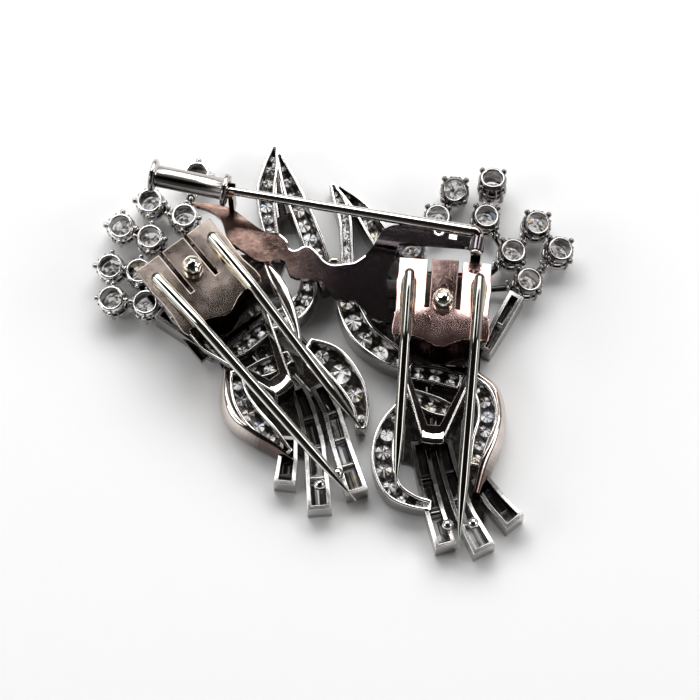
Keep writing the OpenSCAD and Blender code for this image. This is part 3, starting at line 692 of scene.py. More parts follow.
@dataclass(frozen=True)
class Stone(Finish):
    """A colourless cut stone, seen from behind, whose facets are painted with bright and dark glints, and
    which glows faintly as painted light.
    """

    name: str
    glint: float
    painted_glow: float = 0.45
    share: float = 0.62
    clear: float = 0.1

    def dress(self, g: Graph, shader: bpy.types.ShaderNode) -> None:
        """Feeds the painted glints into the base colour and the glow of a clear, hard and strongly reflecting
        surface.

        Args:
            g: The material's nodes.
            shader: Its Principled BSDF.
        """
        facets = g.node("Group", node_tree=facet_group())
        g.feed(facets, Glint_Size=self.glint, Glint_Share=self.share)
        glints = facets.outputs["Color"]
        # The painted glints also glow, as painted light
        g.feed(shader, Base_Color=glints, Emission_Color=glints, Emission_Strength=self.painted_glow,
               Roughness=0.03, IOR=2.4, Transmission_Weight=self.clear, Metallic=0.0)


@dataclass(frozen=True)
class Paper(Finish):
    """The plain white surface under the brooch."""

    name: str = "white_surface"

    def dress(self, g: Graph, shader: bpy.types.ShaderNode) -> None:
        """Gives the surface a faint unevenness."""
        tint = g.ramp(g.noise(g.place(), 12.0), [(0.0, (0.93, 0.93, 0.935)), (1.0, (0.95, 0.95, 0.95))])
        g.feed(shader, Base_Color=tint, Roughness=0.6)


SETTING = Metal("polished_setting", (0.78, 0.76, 0.74), (0.42, 0.38, 0.36), smooth=0.06,
                rough=0.18, bump=0.08)
RIM = Metal("bright_rim", (0.90, 0.88, 0.87), (0.5, 0.46, 0.44), wear=0.2, smooth=0.12, rough=0.22, bump=0.06)
BOX = Metal("brushed_box", (0.92, 0.90, 0.89), (0.6, 0.55, 0.52), wear=0.15, smooth=0.18, rough=0.26,
            bump=0.06, painted_shade_colour=(0.02, 0.019, 0.018))
# The band's red-brown shade colour tints the painted shade at its lower end
BAND = Metal("band_metal", (0.72, 0.65, 0.6), (0.45, 0.33, 0.28), rough=0.12, painted_shade_colour=(0.08, 0.05, 0.045))
# The flap sheets' pinkish and brownish tints are painted reflections, the left one darker as painted shade
LEFT_SHEET_PAINTED_REFLECTION = Metal("left_sheet_painted_reflection", (0.52, 0.44, 0.39), (0.33, 0.26, 0.22), wear=0.5, smooth=0.1,
                   rough=0.19, bump=0.07)
RIGHT_SHEET_PAINTED_REFLECTION = Metal("right_sheet_painted_reflection", (0.8, 0.56, 0.52), (0.55, 0.33, 0.3), wear=0.5, smooth=0.08,
                    rough=0.2, bump=0.2, streaks=0.6)
PRONG = Metal("prong_metal", (0.74, 0.75, 0.70), (0.42, 0.43, 0.38), wear=0.2, rough=0.1, bump=0.04)
SOLDER = Metal("solder_metal", (0.62, 0.57, 0.44), (0.34, 0.3, 0.2), wear=0.6, smooth=0.1,
               rough=0.3, bump=0.3)
BALL = Metal("ball_metal", (0.95, 0.92, 0.84), (0.75, 0.66, 0.46), smooth=0.03, rough=0.1, bump=0.12)
WIRE = Metal("pin_metal", (0.84, 0.82, 0.80), (0.5, 0.42, 0.36), wear=0.2, rough=0.1, bump=0.04,
             painted_shade_colour=(0.16, 0.1, 0.07))
# The plate's rose-brown tint and its dark far tint are painted reflections; its specks are wear
PLATE_PAINTED_REFLECTION = Metal("plate_painted_reflection", (0.4, 0.27, 0.23), (0.2, 0.11, 0.09), wear=0.75, smooth=0.11, rough=0.22,
              bump=0.25, painted_far_reflection=(0.19, 0.165, 0.18), far_smooth=0.06, far_from=-0.009, far_to=0.0015)
TUBE = Metal("tube_metal", (0.92, 0.88, 0.85), (0.62, 0.52, 0.48), wear=0.15, smooth=0.2, rough=0.26,
             bump=0.03, painted_shade_colour=(0.04, 0.04, 0.035))
# Stones: the size of the glints, the strength of the painted glow, and the share of painted cell glints
ROUND = Stone("brilliant_cut", 0.0005, 0.5, 0.5)
PAVE = Stone("ribbon_brilliant_cut", 0.0006, 0.75, 0.35)
# The seats and the ground: dark metal with painted glints that stand for stones and beads in shade
GROUND_PAINTED_GLINTS = Stone("ground_painted_glints", 0.0005, 0.15, 0.55, 0.0)
BAGUETTE = Stone("step_cut", 0.0011, 0.3, 0.2)


# Stones


def cut_round(shape: Shape, d: float, crown: float, pavilion: float, luck: random.Random) -> None:
    """Cuts a round brilliant that lies on its table: table, stars, kites, girdle and pavilion.

    Args:
        shape: The shape that the stone joins.
        d: Diameter of the girdle.
        crown: Height of the crown.
        pavilion: Depth of the pavilion.
        luck: Gives each facet's shade.
    """
    def ring(r: float, z: float, n: int, shift: float) -> list[Vector]:
        """Gives n corners of a ring, turned by a share of a step."""
        turns = [2 * math.pi * (k + shift) / n for k in range(n)]
        return [Vector((r * math.cos(t), r * math.sin(t), z)) for t in turns]

    girdle = 0.04 * d
    table = ring(0.28 * d, 0.0, 8, 0.0)
    kites = ring(0.4 * d, 0.48 * crown, 8, 0.5)
    low = ring(0.5 * d, crown - girdle / 2, 16, 0.0)
    high = ring(0.5 * d, crown + girdle / 2, 16, 0.0)
    mains = ring(0.115 * d, crown + 0.77 * pavilion, 8, 0.5)
    culet = Vector((0, 0, crown + pavilion))
    verts = table + kites + low + high + mains + [culet]
    # Where each ring starts in verts
    t, k0, g0, h0, m0, c0 = 0, 8, 16, 32, 48, 56
    faces: list[tuple[int, ...]] = [tuple(range(8))[::-1]]
    for k in range(8):
        j, p, here, mid, far = (k + 1) % 8, (k - 1) % 8, 2 * k, 2 * k + 1, (2 * k + 2) % 16
        faces += [
            (t + k, t + j, k0 + k), (t + k, k0 + k, g0 + here, k0 + p),
            (k0 + k, g0 + mid, g0 + here), (k0 + k, g0 + far, g0 + mid),
            (h0 + here, h0 + mid, m0 + k), (h0 + mid, h0 + far, m0 + k), (h0 + here, m0 + k, c0, m0 + p)]
    faces += [(g0 + k, g0 + (k + 1) % 16, h0 + (k + 1) % 16, h0 + k) for k in range(16)]
    # Each facet's random tone picks its painted glint in the stone's finish
    shape.add(verts, faces, [luck.random() for _ in faces])


CORNERS = ((-1, -1), (1, -1), (1, 1), (-1, 1))


def cut_baguette(shape: Shape, length: float, width: float, luck: random.Random) -> None:
    """Cuts a step-cut baguette that lies on its table, with its keel up.

    Args:
        shape: The shape that it joins.
        length: Length of the girdle.
        width: Width of the girdle.
        luck: Gives each facet's shade.
    """
    girdle = 0.78
    # Share of the length, share of the width and height of each step
    levels = [(0.72, 0.6, 0.15), (0.86, 0.8, 0.36), (1.0, 1.0, 0.6), (1.0, 1.0, girdle),
              (0.94, 0.78, girdle + 0.14 * width), (0.87, 0.45, girdle + 0.31 * width),
              (0.8, 0.1, girdle + 0.44 * width)]
    verts = [Vector((sx * a * length / 2, sy * b * width / 2, z)) for a, b, z in levels for sx, sy in CORNERS]
    last = 4 * (len(levels) - 1)
    faces: list[tuple[int, ...]] = [(3, 2, 1, 0), tuple(last + k for k in range(4))]
    for i in range(0, last, 4):
        faces += [(i + k, i + (k + 1) % 4, i + 4 + (k + 1) % 4, i + 4 + k) for k in range(4)]
    # Each facet's random tone picks its painted glint in the stone's finish
    shape.add(verts, faces, [luck.random() for _ in faces])


# Spray pieces


@dataclass
class Collet:
    """An open four-claw setting that stands on its claw tips, with two rings round the stone."""

    across: float
    along: float
    lean_x: float
    lean_y: float
    tied_to: int
    radius: float = 2.0
    height: float = 4.0
    eye: float = 1.45
    claw: float = 0.3
    stone_d: float = 3.3
    crown: float = 0.5
    pavilion: float = 1.4
    # Share of painted shade that darkens the rings and the claws
    dark: float = 0.0

    # A claw from its tip at the front to its nub at the back: distance out, height and radius
    CLAW: ClassVar[tuple[Row, ...]] = (
        (1.32, 0.3, 0.14), (1.5, 0.29, 0.26), (1.76, 0.42, 0.32), (1.9, 0.7, 0.33), (1.92, 1.3, 0.3),
        (1.86, 2.4, 0.26), (1.9, 3.0, 0.3), (2.02, 3.4, 0.38), (2.16, 3.62, 0.38), (2.28, 3.72, 0.26),
        (2.34, 3.74, 0.08))

    def place(self) -> Matrix:
        """Gives the collet's placement in its clip, lifted so that its claws clear the surface.

        Returns:
            The placement.
        """
        lean = math.radians(math.hypot(self.lean_x, self.lean_y))
        lift = (self.radius + self.claw) * math.sin(lean) + 0.01
        turn = (Matrix.Rotation(math.radians(self.lean_y), 4, "Y")
                @ Matrix.Rotation(math.radians(self.lean_x), 4, "X"))
        return Matrix.Translation((self.across * SHARE, self.along * SHARE, lift)) @ turn

    def metal(self, rings: Shape, claws: Shape) -> None:
        """Builds the bezel with its deep wall darkened by painted shade, the lower ring, and the claws with
        their nubs.

        Args:
            rings: The shape that the rings join.
            claws: The shape that the claws join.
        """
        r, h, e, dark = self.radius, self.height, self.eye, self.dark
        # Each row's third number is its tone: painted shade on the inner wall and under the rim, deeper with
        # the dark share
        bezel = [
            (e - 0.1, 1.75, 0.02 + 0.35 * dark), (e - 0.1, h - 0.75, 0.05 + 0.35 * dark),
            (e - 0.12, h - 0.3, 0.35), (e - 0.1, h - 0.06), (e - 0.02, h, 1 - 0.5 * dark),
            (e + 0.1, h, 1 - dark), (e + 0.2, h - 0.06, 1 - dark), (e + 0.28, h - 0.2, 1 - dark),
            (e + 0.36, h - 0.38, 0.9 - 0.8 * dark), (r - 0.12, h - 0.6, 0.6 - 0.5 * dark),
            (r - 0.14, h - 0.82, 0.1), (e + 0.12, h - 1.0, 0.02), (e + 0.06, 2.0, 0.02),
            (e + 0.02, 1.75, 0.02)]
        lower = [
            (e + 0.12, 0.85, 0.05), (e + 0.1, 1.6, 0.05), (e + 0.24, 1.74, 0.4), (r - 0.12, 1.74, 0.7),
            (r, 1.6, 0.7), (r + 0.02, 1.1, 0.5), (r - 0.12, 0.85, 0.05)]
        rings.place = self.place()
        rings.lathe(bezel, 32)
        rings.lathe(lower, 32)
        for k in range(4):
            claws.place = self.place() @ Matrix.Rotation(math.radians(45 + 90 * k), 4, "Z")
            claws.tone = 0.75 - 0.6 * dark
            claws.tube([Vector((x, 0, z)) for x, z, _ in self.CLAW], [size for _, _, size in self.CLAW], 12)
            claws.place = self.place() @ Matrix.Rotation(math.radians(90 * k), 4, "Z")
            claws.tone = 0.5 - 0.3 * dark
            for side in (-0.32, 0.32):
                foot = Vector((1.84 * math.cos(side), 1.84 * math.sin(side), 1.5))
                claws.tube([foot, Vector((foot.x * 0.98, foot.y * 0.98, h - 0.5))], [0.16, 0.16], 8)

    def stone(self, shape: Shape, luck: random.Random) -> None:
        """Sets the round stone into the collet, its table down.

        Args:
            shape: The shape that it joins.
            luck: Gives each facet's shade.
        """
        shape.place = self.place() @ Matrix.Translation((0, 0, 0.1)) @ Matrix.Rotation(math.pi / 8, 4, "Z")
        first = len(shape.tones)
        cut_round(shape, self.stone_d, self.crown, self.pavilion, luck)
        # Lifts the painted glints of the stones in the collets
        shape.tones[first:] = [0.32 + 0.68 * tone for tone in shape.tones[first:]]


def between(a: Vector, b: Vector, share: float, z: float) -> Vector:
    """Gives the point at height z and at a share of the way from a to b."""
    return Vector((a.x + (b.x - a.x) * share, a.y + (b.y - a.y) * share, z))


def rim_wall(path: Path, n: int, rim: float, section: tuple[Row, ...]) -> list[list[Vector]]:
    """Sweeps a wall's section round a path, up one edge and down the other.

    Args:
        path: The path.
        n: Steps along it.
        rim: Thickness of the wall.
        section: Share of the way in, height, and 1 where the height counts from the wall's top.

    Returns:
        The rings of the wall, for a wrapped loft.
    """
    cut = rim / path.length
    rings: list[list[Vector]] = []
    for side, steps in ((1, range(n + 1)), (-1, range(n, -1, -1))):
        for k in steps:
            out = path.edge(k / n, side)
            inn = path.edge(cut + (1 - 2 * cut) * k / n, side, rim)
            rings.append([between(out, inn, share, z + out.z * raised) for share, z, raised in section])
    return rings


@dataclass
class Ribbon:
    """A ribbon or leaf set with one row of round stones, open at the back between polished walls."""

    rows: list[Row]
    rim: float = 0.52
    largest: float = 3.0
    smallest: float = 0.7
    coarse: Path = field(init=False)
    fine: Path = field(init=False)

    SECTION: ClassVar[tuple[Row, ...]] = (
        (0.04, FRONT_Z, 0), (0.0, FRONT_Z + 0.1, 0), (0.0, -0.22, 1), (0.08, -0.06, 1), (0.28, 0.0, 1),
        (0.55, 0.0, 1), (0.78, -0.08, 1), (0.9, -0.28, 1), (1.0, -0.7, 1), (1.0, FLOOR_Z - 0.2, 0))
    # The bright ring round a stone: distance out from the girdle and height over the floor
    SEAT_RING: ClassVar[tuple[Row, ...]] = (
        (-0.04, -0.1), (-0.04, 0.05), (0.0, 0.09), (0.05, 0.05), (0.06, -0.1))

    def __post_init__(self) -> None:
        """Reads the rows at the source's own step and at a finer one."""
        self.coarse = Path(self.rows, 2)
        self.fine = Path(self.rows, 8)

    def pitch(self) -> tuple[int, float]:
        """Gives the count of stones and their largest diameter, as the source does.

        Returns:
            The count and the diameter.
        """
        wide = max(p[2] for p in self.coarse.points)
        d = min(self.largest, 2 * (wide - WALL) - 3 * FIT)
        return max(1, math.floor((self.coarse.length - 2 * WALL) / (d + BEAD))), d

    def stones(self) -> list[tuple[float, float]]:
        """Gives each stone's share of the length and its diameter, 0 where the ribbon is too narrow.

        Returns:
            A share and a diameter for each stone.
        """
        n, d = self.pitch()
        run = self.coarse.length - 2 * WALL
        found: list[tuple[float, float]] = []
        for i in range(n):
            share = (WALL + (i + 0.5) * run / n) / self.coarse.length
            size = min(d, 2 * (self.coarse.at(share)[2] - WALL) - 3 * FIT, run / n - BEAD)
            found.append((share, size if size > self.smallest else 0.0))
        return found

    @staticmethod
    def girdle(size: float, w: float) -> float:
        """Gives the width of a stone's girdle, so that neighbours nearly touch between the walls."""
        return min(size + BEAD - 0.06, 2 * (w - 0.3))

    def walls(self, shape: Shape) -> None:
        """Builds the polished wall that runs all round, with a rounded rim and a deep inner side darkened by
        painted shade.
        """
        shape.loft(rim_wall(self.fine, 6 * len(self.rows), self.rim, self.SECTION), wrap=True,
                   tones=[0.25, 0.3, 0.8, 1.0, 1.0, 1.0, 0.8, 0.35, 0.08, 0.05])

    def floor(self, shape: Shape, metal: Shape) -> None:
        """Builds the floor with an open seat under each stone, and a thin bright ring round it.

        Args:
            shape: The shape that the floor joins.
            metal: The shape that the rings join.
        """
        spots = self.stones()
        first, gap = WALL / self.coarse.length, 0.001
        step = (1 - 2 * first) / len(spots)
        # The seat floor is darkened as painted shade under its painted glints
        shape.tone = -0.25
        for i, (share, size) in enumerate(spots):
            low, high = first + i * step, first + (i + 1) * step
            marks = [low + gap + (high - low - 2 * gap) * k / 6 for k in range(7)]
            outline = ([self.fine.edge(m, 1, 0.3) for m in marks]
                       + [self.fine.edge(m, -1, 0.3) for m in reversed(marks)])
            if not size:
                shape.slab([(p.x, p.y) for p in outline], FRONT_Z, FLOOR_Z)
                continue
            middle, _, w, _ = self.fine.at(share)
            r = self.girdle(size, w) / 2
            ways = [(Vector((p.x, p.y)) - middle).normalized() for p in outline]
            seat = ((0.98, FLOOR_Z), (0.94, FLOOR_Z - 0.14), (0.85, FLOOR_Z - 0.5), (0.85, FRONT_Z))
            hole = [[Vector((*(middle + way * r * reach), z)) for way in ways] for reach, z in seat]
            shape.cell([Vector((p.x, p.y, FLOOR_Z)) for p in outline], hole, FRONT_Z)
            metal.place = Matrix.Translation((middle.x, middle.y, FLOOR_Z))
            # The ring is half darkened with painted shade
            metal.tone = 0.5
            metal.lathe([(r + d, z) for d, z in self.SEAT_RING], 20)
            metal.place = Matrix.Identity(4)
            metal.tone = 1.0

    def gems(self, shape: Shape, luck: random.Random) -> None:
        """Sets the row of round stones, their tables at the front, and small ones at the narrow ends.

        Args:
            shape: The shape that they join.
            luck: Gives each facet's shade.
        """
        for share, size in self.stones():
            spot, way, w, _ = self.coarse.at(share)
            turn = Matrix.Rotation(math.atan2(way.y, way.x), 4, "Z")
            if size:
                shape.place = Matrix.Translation((spot.x, spot.y, FLOOR_Z - 0.1 - 0.3 * size)) @ turn
                cut_round(shape, self.girdle(size, w), 0.3 * size, 0.46 * size, luck)
            elif w > 0.5:
                small = 1.5 * (w - 0.2)
                shape.place = Matrix.Translation((spot.x, spot.y, FLOOR_Z - 0.1)) @ turn
                cut_round(shape, small, 0.3 * small, 0.4 * small, luck)


@dataclass
class Bar:
    """A stem of baguettes in a channel with a polished rim, a cross wall between two stones."""

    rows: list[Row]
    rim: float = 0.6
    stone_l: float = 3.2
    ledge: float = 2.1
    # Painted shade along the stem: 0.7 of the light above plate_to, the least from there down to dark_to, all
    # of it past bright_from
    plate_to: float = -19.0
    dark_to: float = -28.0
    bright_from: float = -34.0
    path: Path = field(init=False)

    SECTION: ClassVar[tuple[Row, ...]] = (
        (0.06, 0.0, 0), (0.0, 0.08, 0), (0.0, -0.1, 1), (0.08, -0.03, 1), (0.9, 0.0, 1), (1.0, -0.12, 1),
        (1.0, 0.3, 0))

    def __post_init__(self) -> None:
        """Reads the rows at the source's own step."""
        self.path = Path(self.rows, 1)

    def stones(self) -> list[tuple[float, float, float]]:
        """Gives each baguette's share of the length, its length and its width.

        Returns:
            A share, a length and a width for each stone.
        """
        run = self.path.length - 2 * WALL
        n = max(1, math.floor(run / (self.stone_l + BEAD)))
        found: list[tuple[float, float, float]] = []
        for i in range(n):
            share = (WALL + (i + 0.5) * run / n) / self.path.length
            width = 2 * (self.path.at(share)[2] - WALL - FIT)
            found.append((share, min(self.stone_l, run / n - BEAD - 2 * FIT), width))
        return found

    def light(self, spot: Vector) -> float:
        """Gives the share of painted light at a place: little under the base plate, all of it at the stems'
        ends.

        Args:
            spot: A place in the clip's frame.

        Returns:
            The share of painted light.
        """
        if spot.y > self.plate_to:
            return 0.7
        return min(max((self.dark_to - spot.y) / (self.dark_to - self.bright_from), 0.08), 1.0)

    def frame_of(self, share: float) -> Matrix:
        """Gives the placement at a share of the length, with X along the stem.

        Args:
            share: Share of the length.

        Returns:
            The placement.
        """
        points, marks = self.path.points, self.path.marks
        i = max(k for k in range(len(points) - 1) if marks[k] <= share * self.path.length + 0.001)
        a, b = points[i], points[i + 1]
        spot = self.path.at(share)[0]
        angle = math.atan2(b[1] - a[1], b[0] - a[0])
        return Matrix.Translation((spot.x, spot.y, 0)) @ Matrix.Rotation(angle, 4, "Z")

    def metal(self, shape: Shape) -> None:
        """Builds the channel's walls, its thin cross walls and the ledge round each stone.

        Args:
            shape: The shape that it joins.
        """
        first = len(shape.faces)
        shape.tone = 1.0
        # The tones paint shade inside the channel, on the ledges and on the low cross walls
        shape.loft(rim_wall(self.path, 4 * (len(self.rows) - 1), self.rim, self.SECTION), wrap=True,
                   tones=[0.6, 0.7, 0.9, 1.0, 0.9, 0.12, 0.1])
        shape.tone = 0.3
        for share, length, width in self.stones():
            shape.place = self.frame_of(share)
            x, y = length / 2, width / 2
            ledge = [Vector(((x + FIT + 0.3) * sx, (y + FIT + 0.2) * sy, self.ledge)) for sx, sy in CORNERS]
            hole = [[Vector(((x - 0.1) * sx + d * sx, (y - 0.1) * sy + d * sy, z)) for sx, sy in CORNERS]
                    for d, z in ((0.12, self.ledge), (0.0, 1.95), (0.0, 1.7))]
            shape.cell(ledge, hole, 1.7)
        shape.place = Matrix.Identity(4)
        for (a, _, _), (b, _, _) in zip(self.stones(), self.stones()[1:]):
            ends = [self.path.edge((a + b) / 2, side, 0.2) for side in (1, -1)]
            for z, r, flat, tone in ((ends[0].z - 0.9, 0.13, 1.0, 0.9), (1.3, 0.3, 2.4, 0.1)):
                shape.tone = tone
                shape.tube([Vector((p.x, p.y, z)) for p in ends], [r, r], 8, flat)
        shape.fade(first, self.light)

    def gems(self, shape: Shape, luck: random.Random) -> None:
        """Sets the baguettes.

        Args:
            shape: The shape that they join.
            luck: Gives each facet's shade.
        """
        for share, length, width in self.stones():
            shape.place = self.frame_of(share)
            first = len(shape.faces)
            cut_baguette(shape, length, width, luck)
            # Baguettes away from the light are darkened as painted shade
            dim = 0.9 * (1 - self.light(shape.place.translation))
            shape.tones[first:] = [tone - dim for tone in shape.tones[first:]]


@dataclass
class Band:
    """A polished band round an outer loop, high at its inner edge and rolled over to its outer one."""

    rows: list[Row]
    swell: float = 0.1
    # Where the painted shade at the lower end is darkest, and the length over which it fades
    dark_to: float = -27.5
    fade_l: float = 4.0

    # Share of the way out and share of the height
    SECTION: ClassVar[tuple[Row, ...]] = (
        (0.0, 0.12), (0.0, 0.86), (0.04, 0.93), (0.14, 0.96), (0.32, 0.945), (0.52, 0.88), (0.72, 0.77),
        (0.88, 0.63), (0.97, 0.47), (1.0, 0.3), (0.96, 0.16), (0.85, 0.12))

    def metal(self, shape: Shape) -> None:
        """Lofts the band's rolled section along both edges, and paints shade on it at its lower end.

        Args:
            shape: The shape that it joins.
        """
        first = len(shape.faces)
        rings: list[list[Vector]] = []
        rows = spline(self.rows, 6)
        for i, row in enumerate(rows):
            a, b = Vector(row[:2]) * SHARE, Vector(row[2:]) * SHARE
            high = SPRAY_H * (1 + self.swell * math.sin(math.pi * (i / (len(rows) - 1) - 0.35) / 0.8))
            rings.append([Vector((*(a + (b - a) * share), z * high)) for share, z in self.SECTION])
        shape.loft(rings)
        shape.fade(first, lambda spot: min(max((spot.y - self.dark_to) / self.fade_l, 0.1), 1.0))


# Mounts, flaps, pin and frame


@dataclass
class Spray:
    """The tables of one clip's front work, in hundredths of the clip's length."""

    # Collets: across, along, two leans in degrees, and the number of the collet it is tied to, or 0
    rounds: list[Row]
    # Ribbons and bars: across, along, half width, and height in hundredths of the spray's
    ribbons: list[list[Row]]
    # Bands: the inner and the outer edge, across and along
    bands: list[list[Row]]
    bars: list[list[Row]]
    # Struts from end to end, stop balls, and outlines of the openwork ground, darkened with painted shade and
    # strewn with painted glints
    ties: list[Row]
    stops: list[Row]
    grounds: list[list[Row]]
    # The rib between the leaf's lobes: the first lobe's edge that it follows and how far along, and its
    # section, with the share of the way across, the drop from the top and the tone of each face, its painted
    # shade
    rib_side: int
    rib_reach: float
    rib_section: list[Row]
    # The polished strip beside the base plate's V: across, along, height and half width in millimetres
    strip: list[Row] = field(default_factory=list)


def mirrored(half: list[Row]) -> list[Row]:
    """Completes an outline from its half at +X."""
    return half + [(-x, y) for x, y in reversed(half)]


def square(x: float, y: float, half_x: float, half_y: float) -> list[Row]:
    """Gives the corners of a rectangle round a middle."""
    return [(x + half_x * sx, y + half_y * sy) for sx, sy in CORNERS]


@dataclass
class ClipMount:
    """A clip's spray with the base plate that carries its flap."""

    side: str
    home: Matrix
    spray: Spray
    seed: int
    # Share of painted shade over the fan's collets
    dark: float = 0.0
    half: float = 5.2
    shoulder: float = 13.0
    length: float = 23.4
    arm: float = 0.9
    tongue: float = 2.8
    leg: float = 1.2
    axle_y: float = 7.6
    lug: float = 0.8
    post: tuple[float, float] = (-9.2, -3.2)
    stop_r: float = 0.78
    collet_r: float = 1.7

    # Back of the tongue's end: distance up from the end and drop from the plate's face
    TONGUE_END: ClassVar[tuple[Row, ...]] = (
        (1.7, 0.62), (1.45, 0.42), (1.0, 0.3), (0.5, 0.18), (0.05, 0.1), (-0.3, 0.12), (-0.55, 0.24),
        (-0.68, 0.46), (-0.7, 0.8))
    # Beads of solder where a strut meets a collet: along, aside, height, radius and tone, which paints shade
    # on the lower beads
    JOINT_BEADS: ClassVar[tuple[Row, ...]] = (
        (2.1, 0.0, 2.6, 0.34, 0.3), (2.3, 0.45, 3.05, 0.27, 1.0), (2.3, -0.45, 3.05, 0.27, 1.0),
        (2.75, 0.0, 2.9, 0.3, 0.6), (2.75, 0.5, 2.5, 0.22, 0.3))

    def build(self) -> None:
        """Builds every piece of the mount and its stones."""
        luck = random.Random(self.seed)
        self.fan(luck)
        self.front(luck)
        self.stems(luck)
        self.mount_piece(self.plate(), "base_plate", SETTING, bevel=0.09)
        self.mount_piece(self.links(), "ties", SETTING, bevel=0.04)

    def mount_piece(self, shape: Shape, what: str, finish: Finish, **edges: float) -> None:
        """Makes a piece that stands for a part of the mount."""
        shape.build(f"{self.side}_{what}", finish, Slot.SETTING, Body.BROOCH, [f"{self.side}_mount"], **edges)

    def stone_piece(self, shape: Shape, what: str, cut: Finish, slot: Slot, nodes: list[str]) -> None:
        """Makes a piece of flat-faced stones."""
        nodes = [f"{self.side}_{node}" for node in nodes]
        shape.build(f"{self.side}_{what}", cut, slot, Body.BROOCH, nodes, sharp=1)

    def fan(self, luck: random.Random) -> None:
        """Builds the collets of the fan and sets their round stones.

        Args:
            luck: Gives each facet's shade.
        """
        rings, claws, gems = (Shape(self.home) for _ in range(3))
        for row in self.spray.rounds:
            collet = Collet(*row, dark=self.dark)
            collet.metal(rings, claws)
            collet.stone(gems, luck)
        self.mount_piece(rings, "collet_rings", RIM, sharp=50)
        self.mount_piece(claws, "claws", SETTING, sharp=60)
        stones = [f"stone_{i + 1}" for i in range(len(self.spray.rounds))]
        self.stone_piece(gems, "round_stones", ROUND, Slot.ROUND, stones)

    def front(self, luck: random.Random) -> None:
        """Builds the leaf, the ribbons and the bands, and sets the ribbons' stones.

        Args:
            luck: Gives each facet's shade.
        """
        walls, floors, gems, bands = (Shape(self.home) for _ in range(4))
        for rows in self.spray.ribbons:
            ribbon = Ribbon(rows)
            first = len(walls.faces)
            ribbon.walls(walls)
            # The short ribbons lie in the shade of the base plate, which is painted into their walls' colour
            if len(rows) == 3:
                walls.fade(first, lambda spot: 0.45)
            ribbon.floor(floors, walls)
            ribbon.gems(gems, luck)
        for rows in self.spray.bands:
            Band(rows).metal(bands)
        self.leaf_rib(walls)
        self.ground(floors)
        self.mount_piece(walls, "ribbon_walls", RIM, sharp=50)
        self.mount_piece(floors, "ribbon_seats", GROUND_PAINTED_GLINTS, sharp=40)
        self.stone_piece(gems, "pave_stones", PAVE, Slot.PAVE, ["pave"])
        self.mount_piece(bands, "band", BAND, sharp=60)

    def ground(self, shape: Shape) -> None:
        """Builds the openwork ground low between the ribbons, the V and the stems, dark with painted shade.

        Args:
            shape: The shape that it joins.
        """
        shape.place = Matrix.Identity(4)
        # The ground is darkened as painted shade under its painted glints
        shape.tone = -0.6
        for outline in self.spray.grounds:
            shape.slab([(x * SHARE, y * SHARE) for x, y in outline], FRONT_Z - 0.2, FRONT_Z + 0.1)

    def leaf_rib(self, shape: Shape) -> None:
        """Builds the polished rib that joins the leaf's two lobes, from its tip down.

        Args:
            shape: The shape that it joins.
        """
        facing = self.spray.rib_side
        first, second = (Path(rows, 8) for rows in self.spray.ribbons[:2])
        near = [second.edge(s / 60, -facing, 0.2) for s in range(60)]
        rings: list[list[Vector]] = []
        for k in range(15):
            a = first.edge(0.01 + self.spray.rib_reach * k / 14, facing, 0.2)
            b = min(near, key=lambda spot: (spot - a).length)
            top = min(a.z, b.z)
            rings.append([between(a, b, share, top - drop) for share, drop, _ in self.spray.rib_section])
        shape.loft(rings, tones=[tone for _, _, tone in self.spray.rib_section])

    def stems(self, luck: random.Random) -> None:
        """Builds the baguette stems and sets their stones.

        Args:
            luck: Gives each facet's shade.
        """
        metal, gems = Shape(self.home), Shape(self.home)
        for rows in self.spray.bars:
            bar = Bar(rows)
            metal.place = Matrix.Identity(4)
            bar.metal(metal)
            bar.gems(gems, luck)
        self.mount_piece(metal, "stems", BOX, bevel=0.05, sharp=35)
        self.stone_piece(gems, "baguette_stones", BAGUETTE, Slot.BAGUETTE, ["baguettes"])

    def plate(self) -> Shape:
        """Builds the base plate with its V, tongue end, strip, legs, lugs and the post's ear.

        Returns:
            The plate's shape.
        """
        shape = Shape(self.home)
        self.window(shape)
        self.tongue_end(shape)
        if self.spray.strip:
            self.side_strip(shape)
        self.feet(shape)
        # The lugs are darkened a little with painted shade
        shape.tone = 0.7
        for x in (0.1 - self.half, self.half - self.lug - 0.1):
            self.hinge_lug(shape, x)
        return shape

    def window(self, shape: Shape) -> None:
        """Builds the plate round its open V, and a polished wire along each arm of the V.

        Args:
            shape: The shape that it joins.
        """
        w, tip, low = self.half, self.tongue / 2 + 0.2, -self.length
        open_w, top = w - self.arm, -self.shoulder - 0.2
        face, wire_z = BASE_TOP - 0.3, BASE_TOP - 0.26
        outer = mirrored([(w, -self.leg / 2), (w, -self.shoulder), (tip, low)])
        inner = mirrored([(open_w - 1, top), (open_w, top), (tip / 2, low + 2 * self.arm)])
        # The plate round the V is darkened with painted shade, and its wires are left lit
        shape.tone = 0.12
        shape.cell([Vector((*p, face)) for p in outer],
                   [[Vector((*p, z)) for p in inner] for z in (face, BASE_Z)], BASE_Z)
        shape.tone = 1.0
        for s in (-1, 1):
            arm = [(s * (w - 0.22), -self.shoulder + 3.5, face), (s * (w - 0.22), -self.shoulder, wire_z),
                   (s * (tip - 0.14), low + 0.35, wire_z)]
            shape.tube([Vector(p) for p in arm], [0.14, 0.17, 0.15], 12)

    def tongue_end(self, shape: Shape) -> None:
        """Builds the rolled end of the plate's tongue, a little hollow across.

        Args:
            shape: The shape that it joins.
        """
        half, low = self.tongue / 2, -self.length
        section = [(low + y, BASE_TOP - z) for y, z in self.TONGUE_END]
        section += [(low - 0.7, 2.2), (low + 0.05, 2.2), (low + 0.1, BASE_TOP - 0.9),
                    (low + 1.7, BASE_TOP - 0.75)]
        across = ((-half, 0.0), (-0.7 * half, 0.12), (0.0, 0.18), (0.7 * half, 0.12), (half, 0.0))
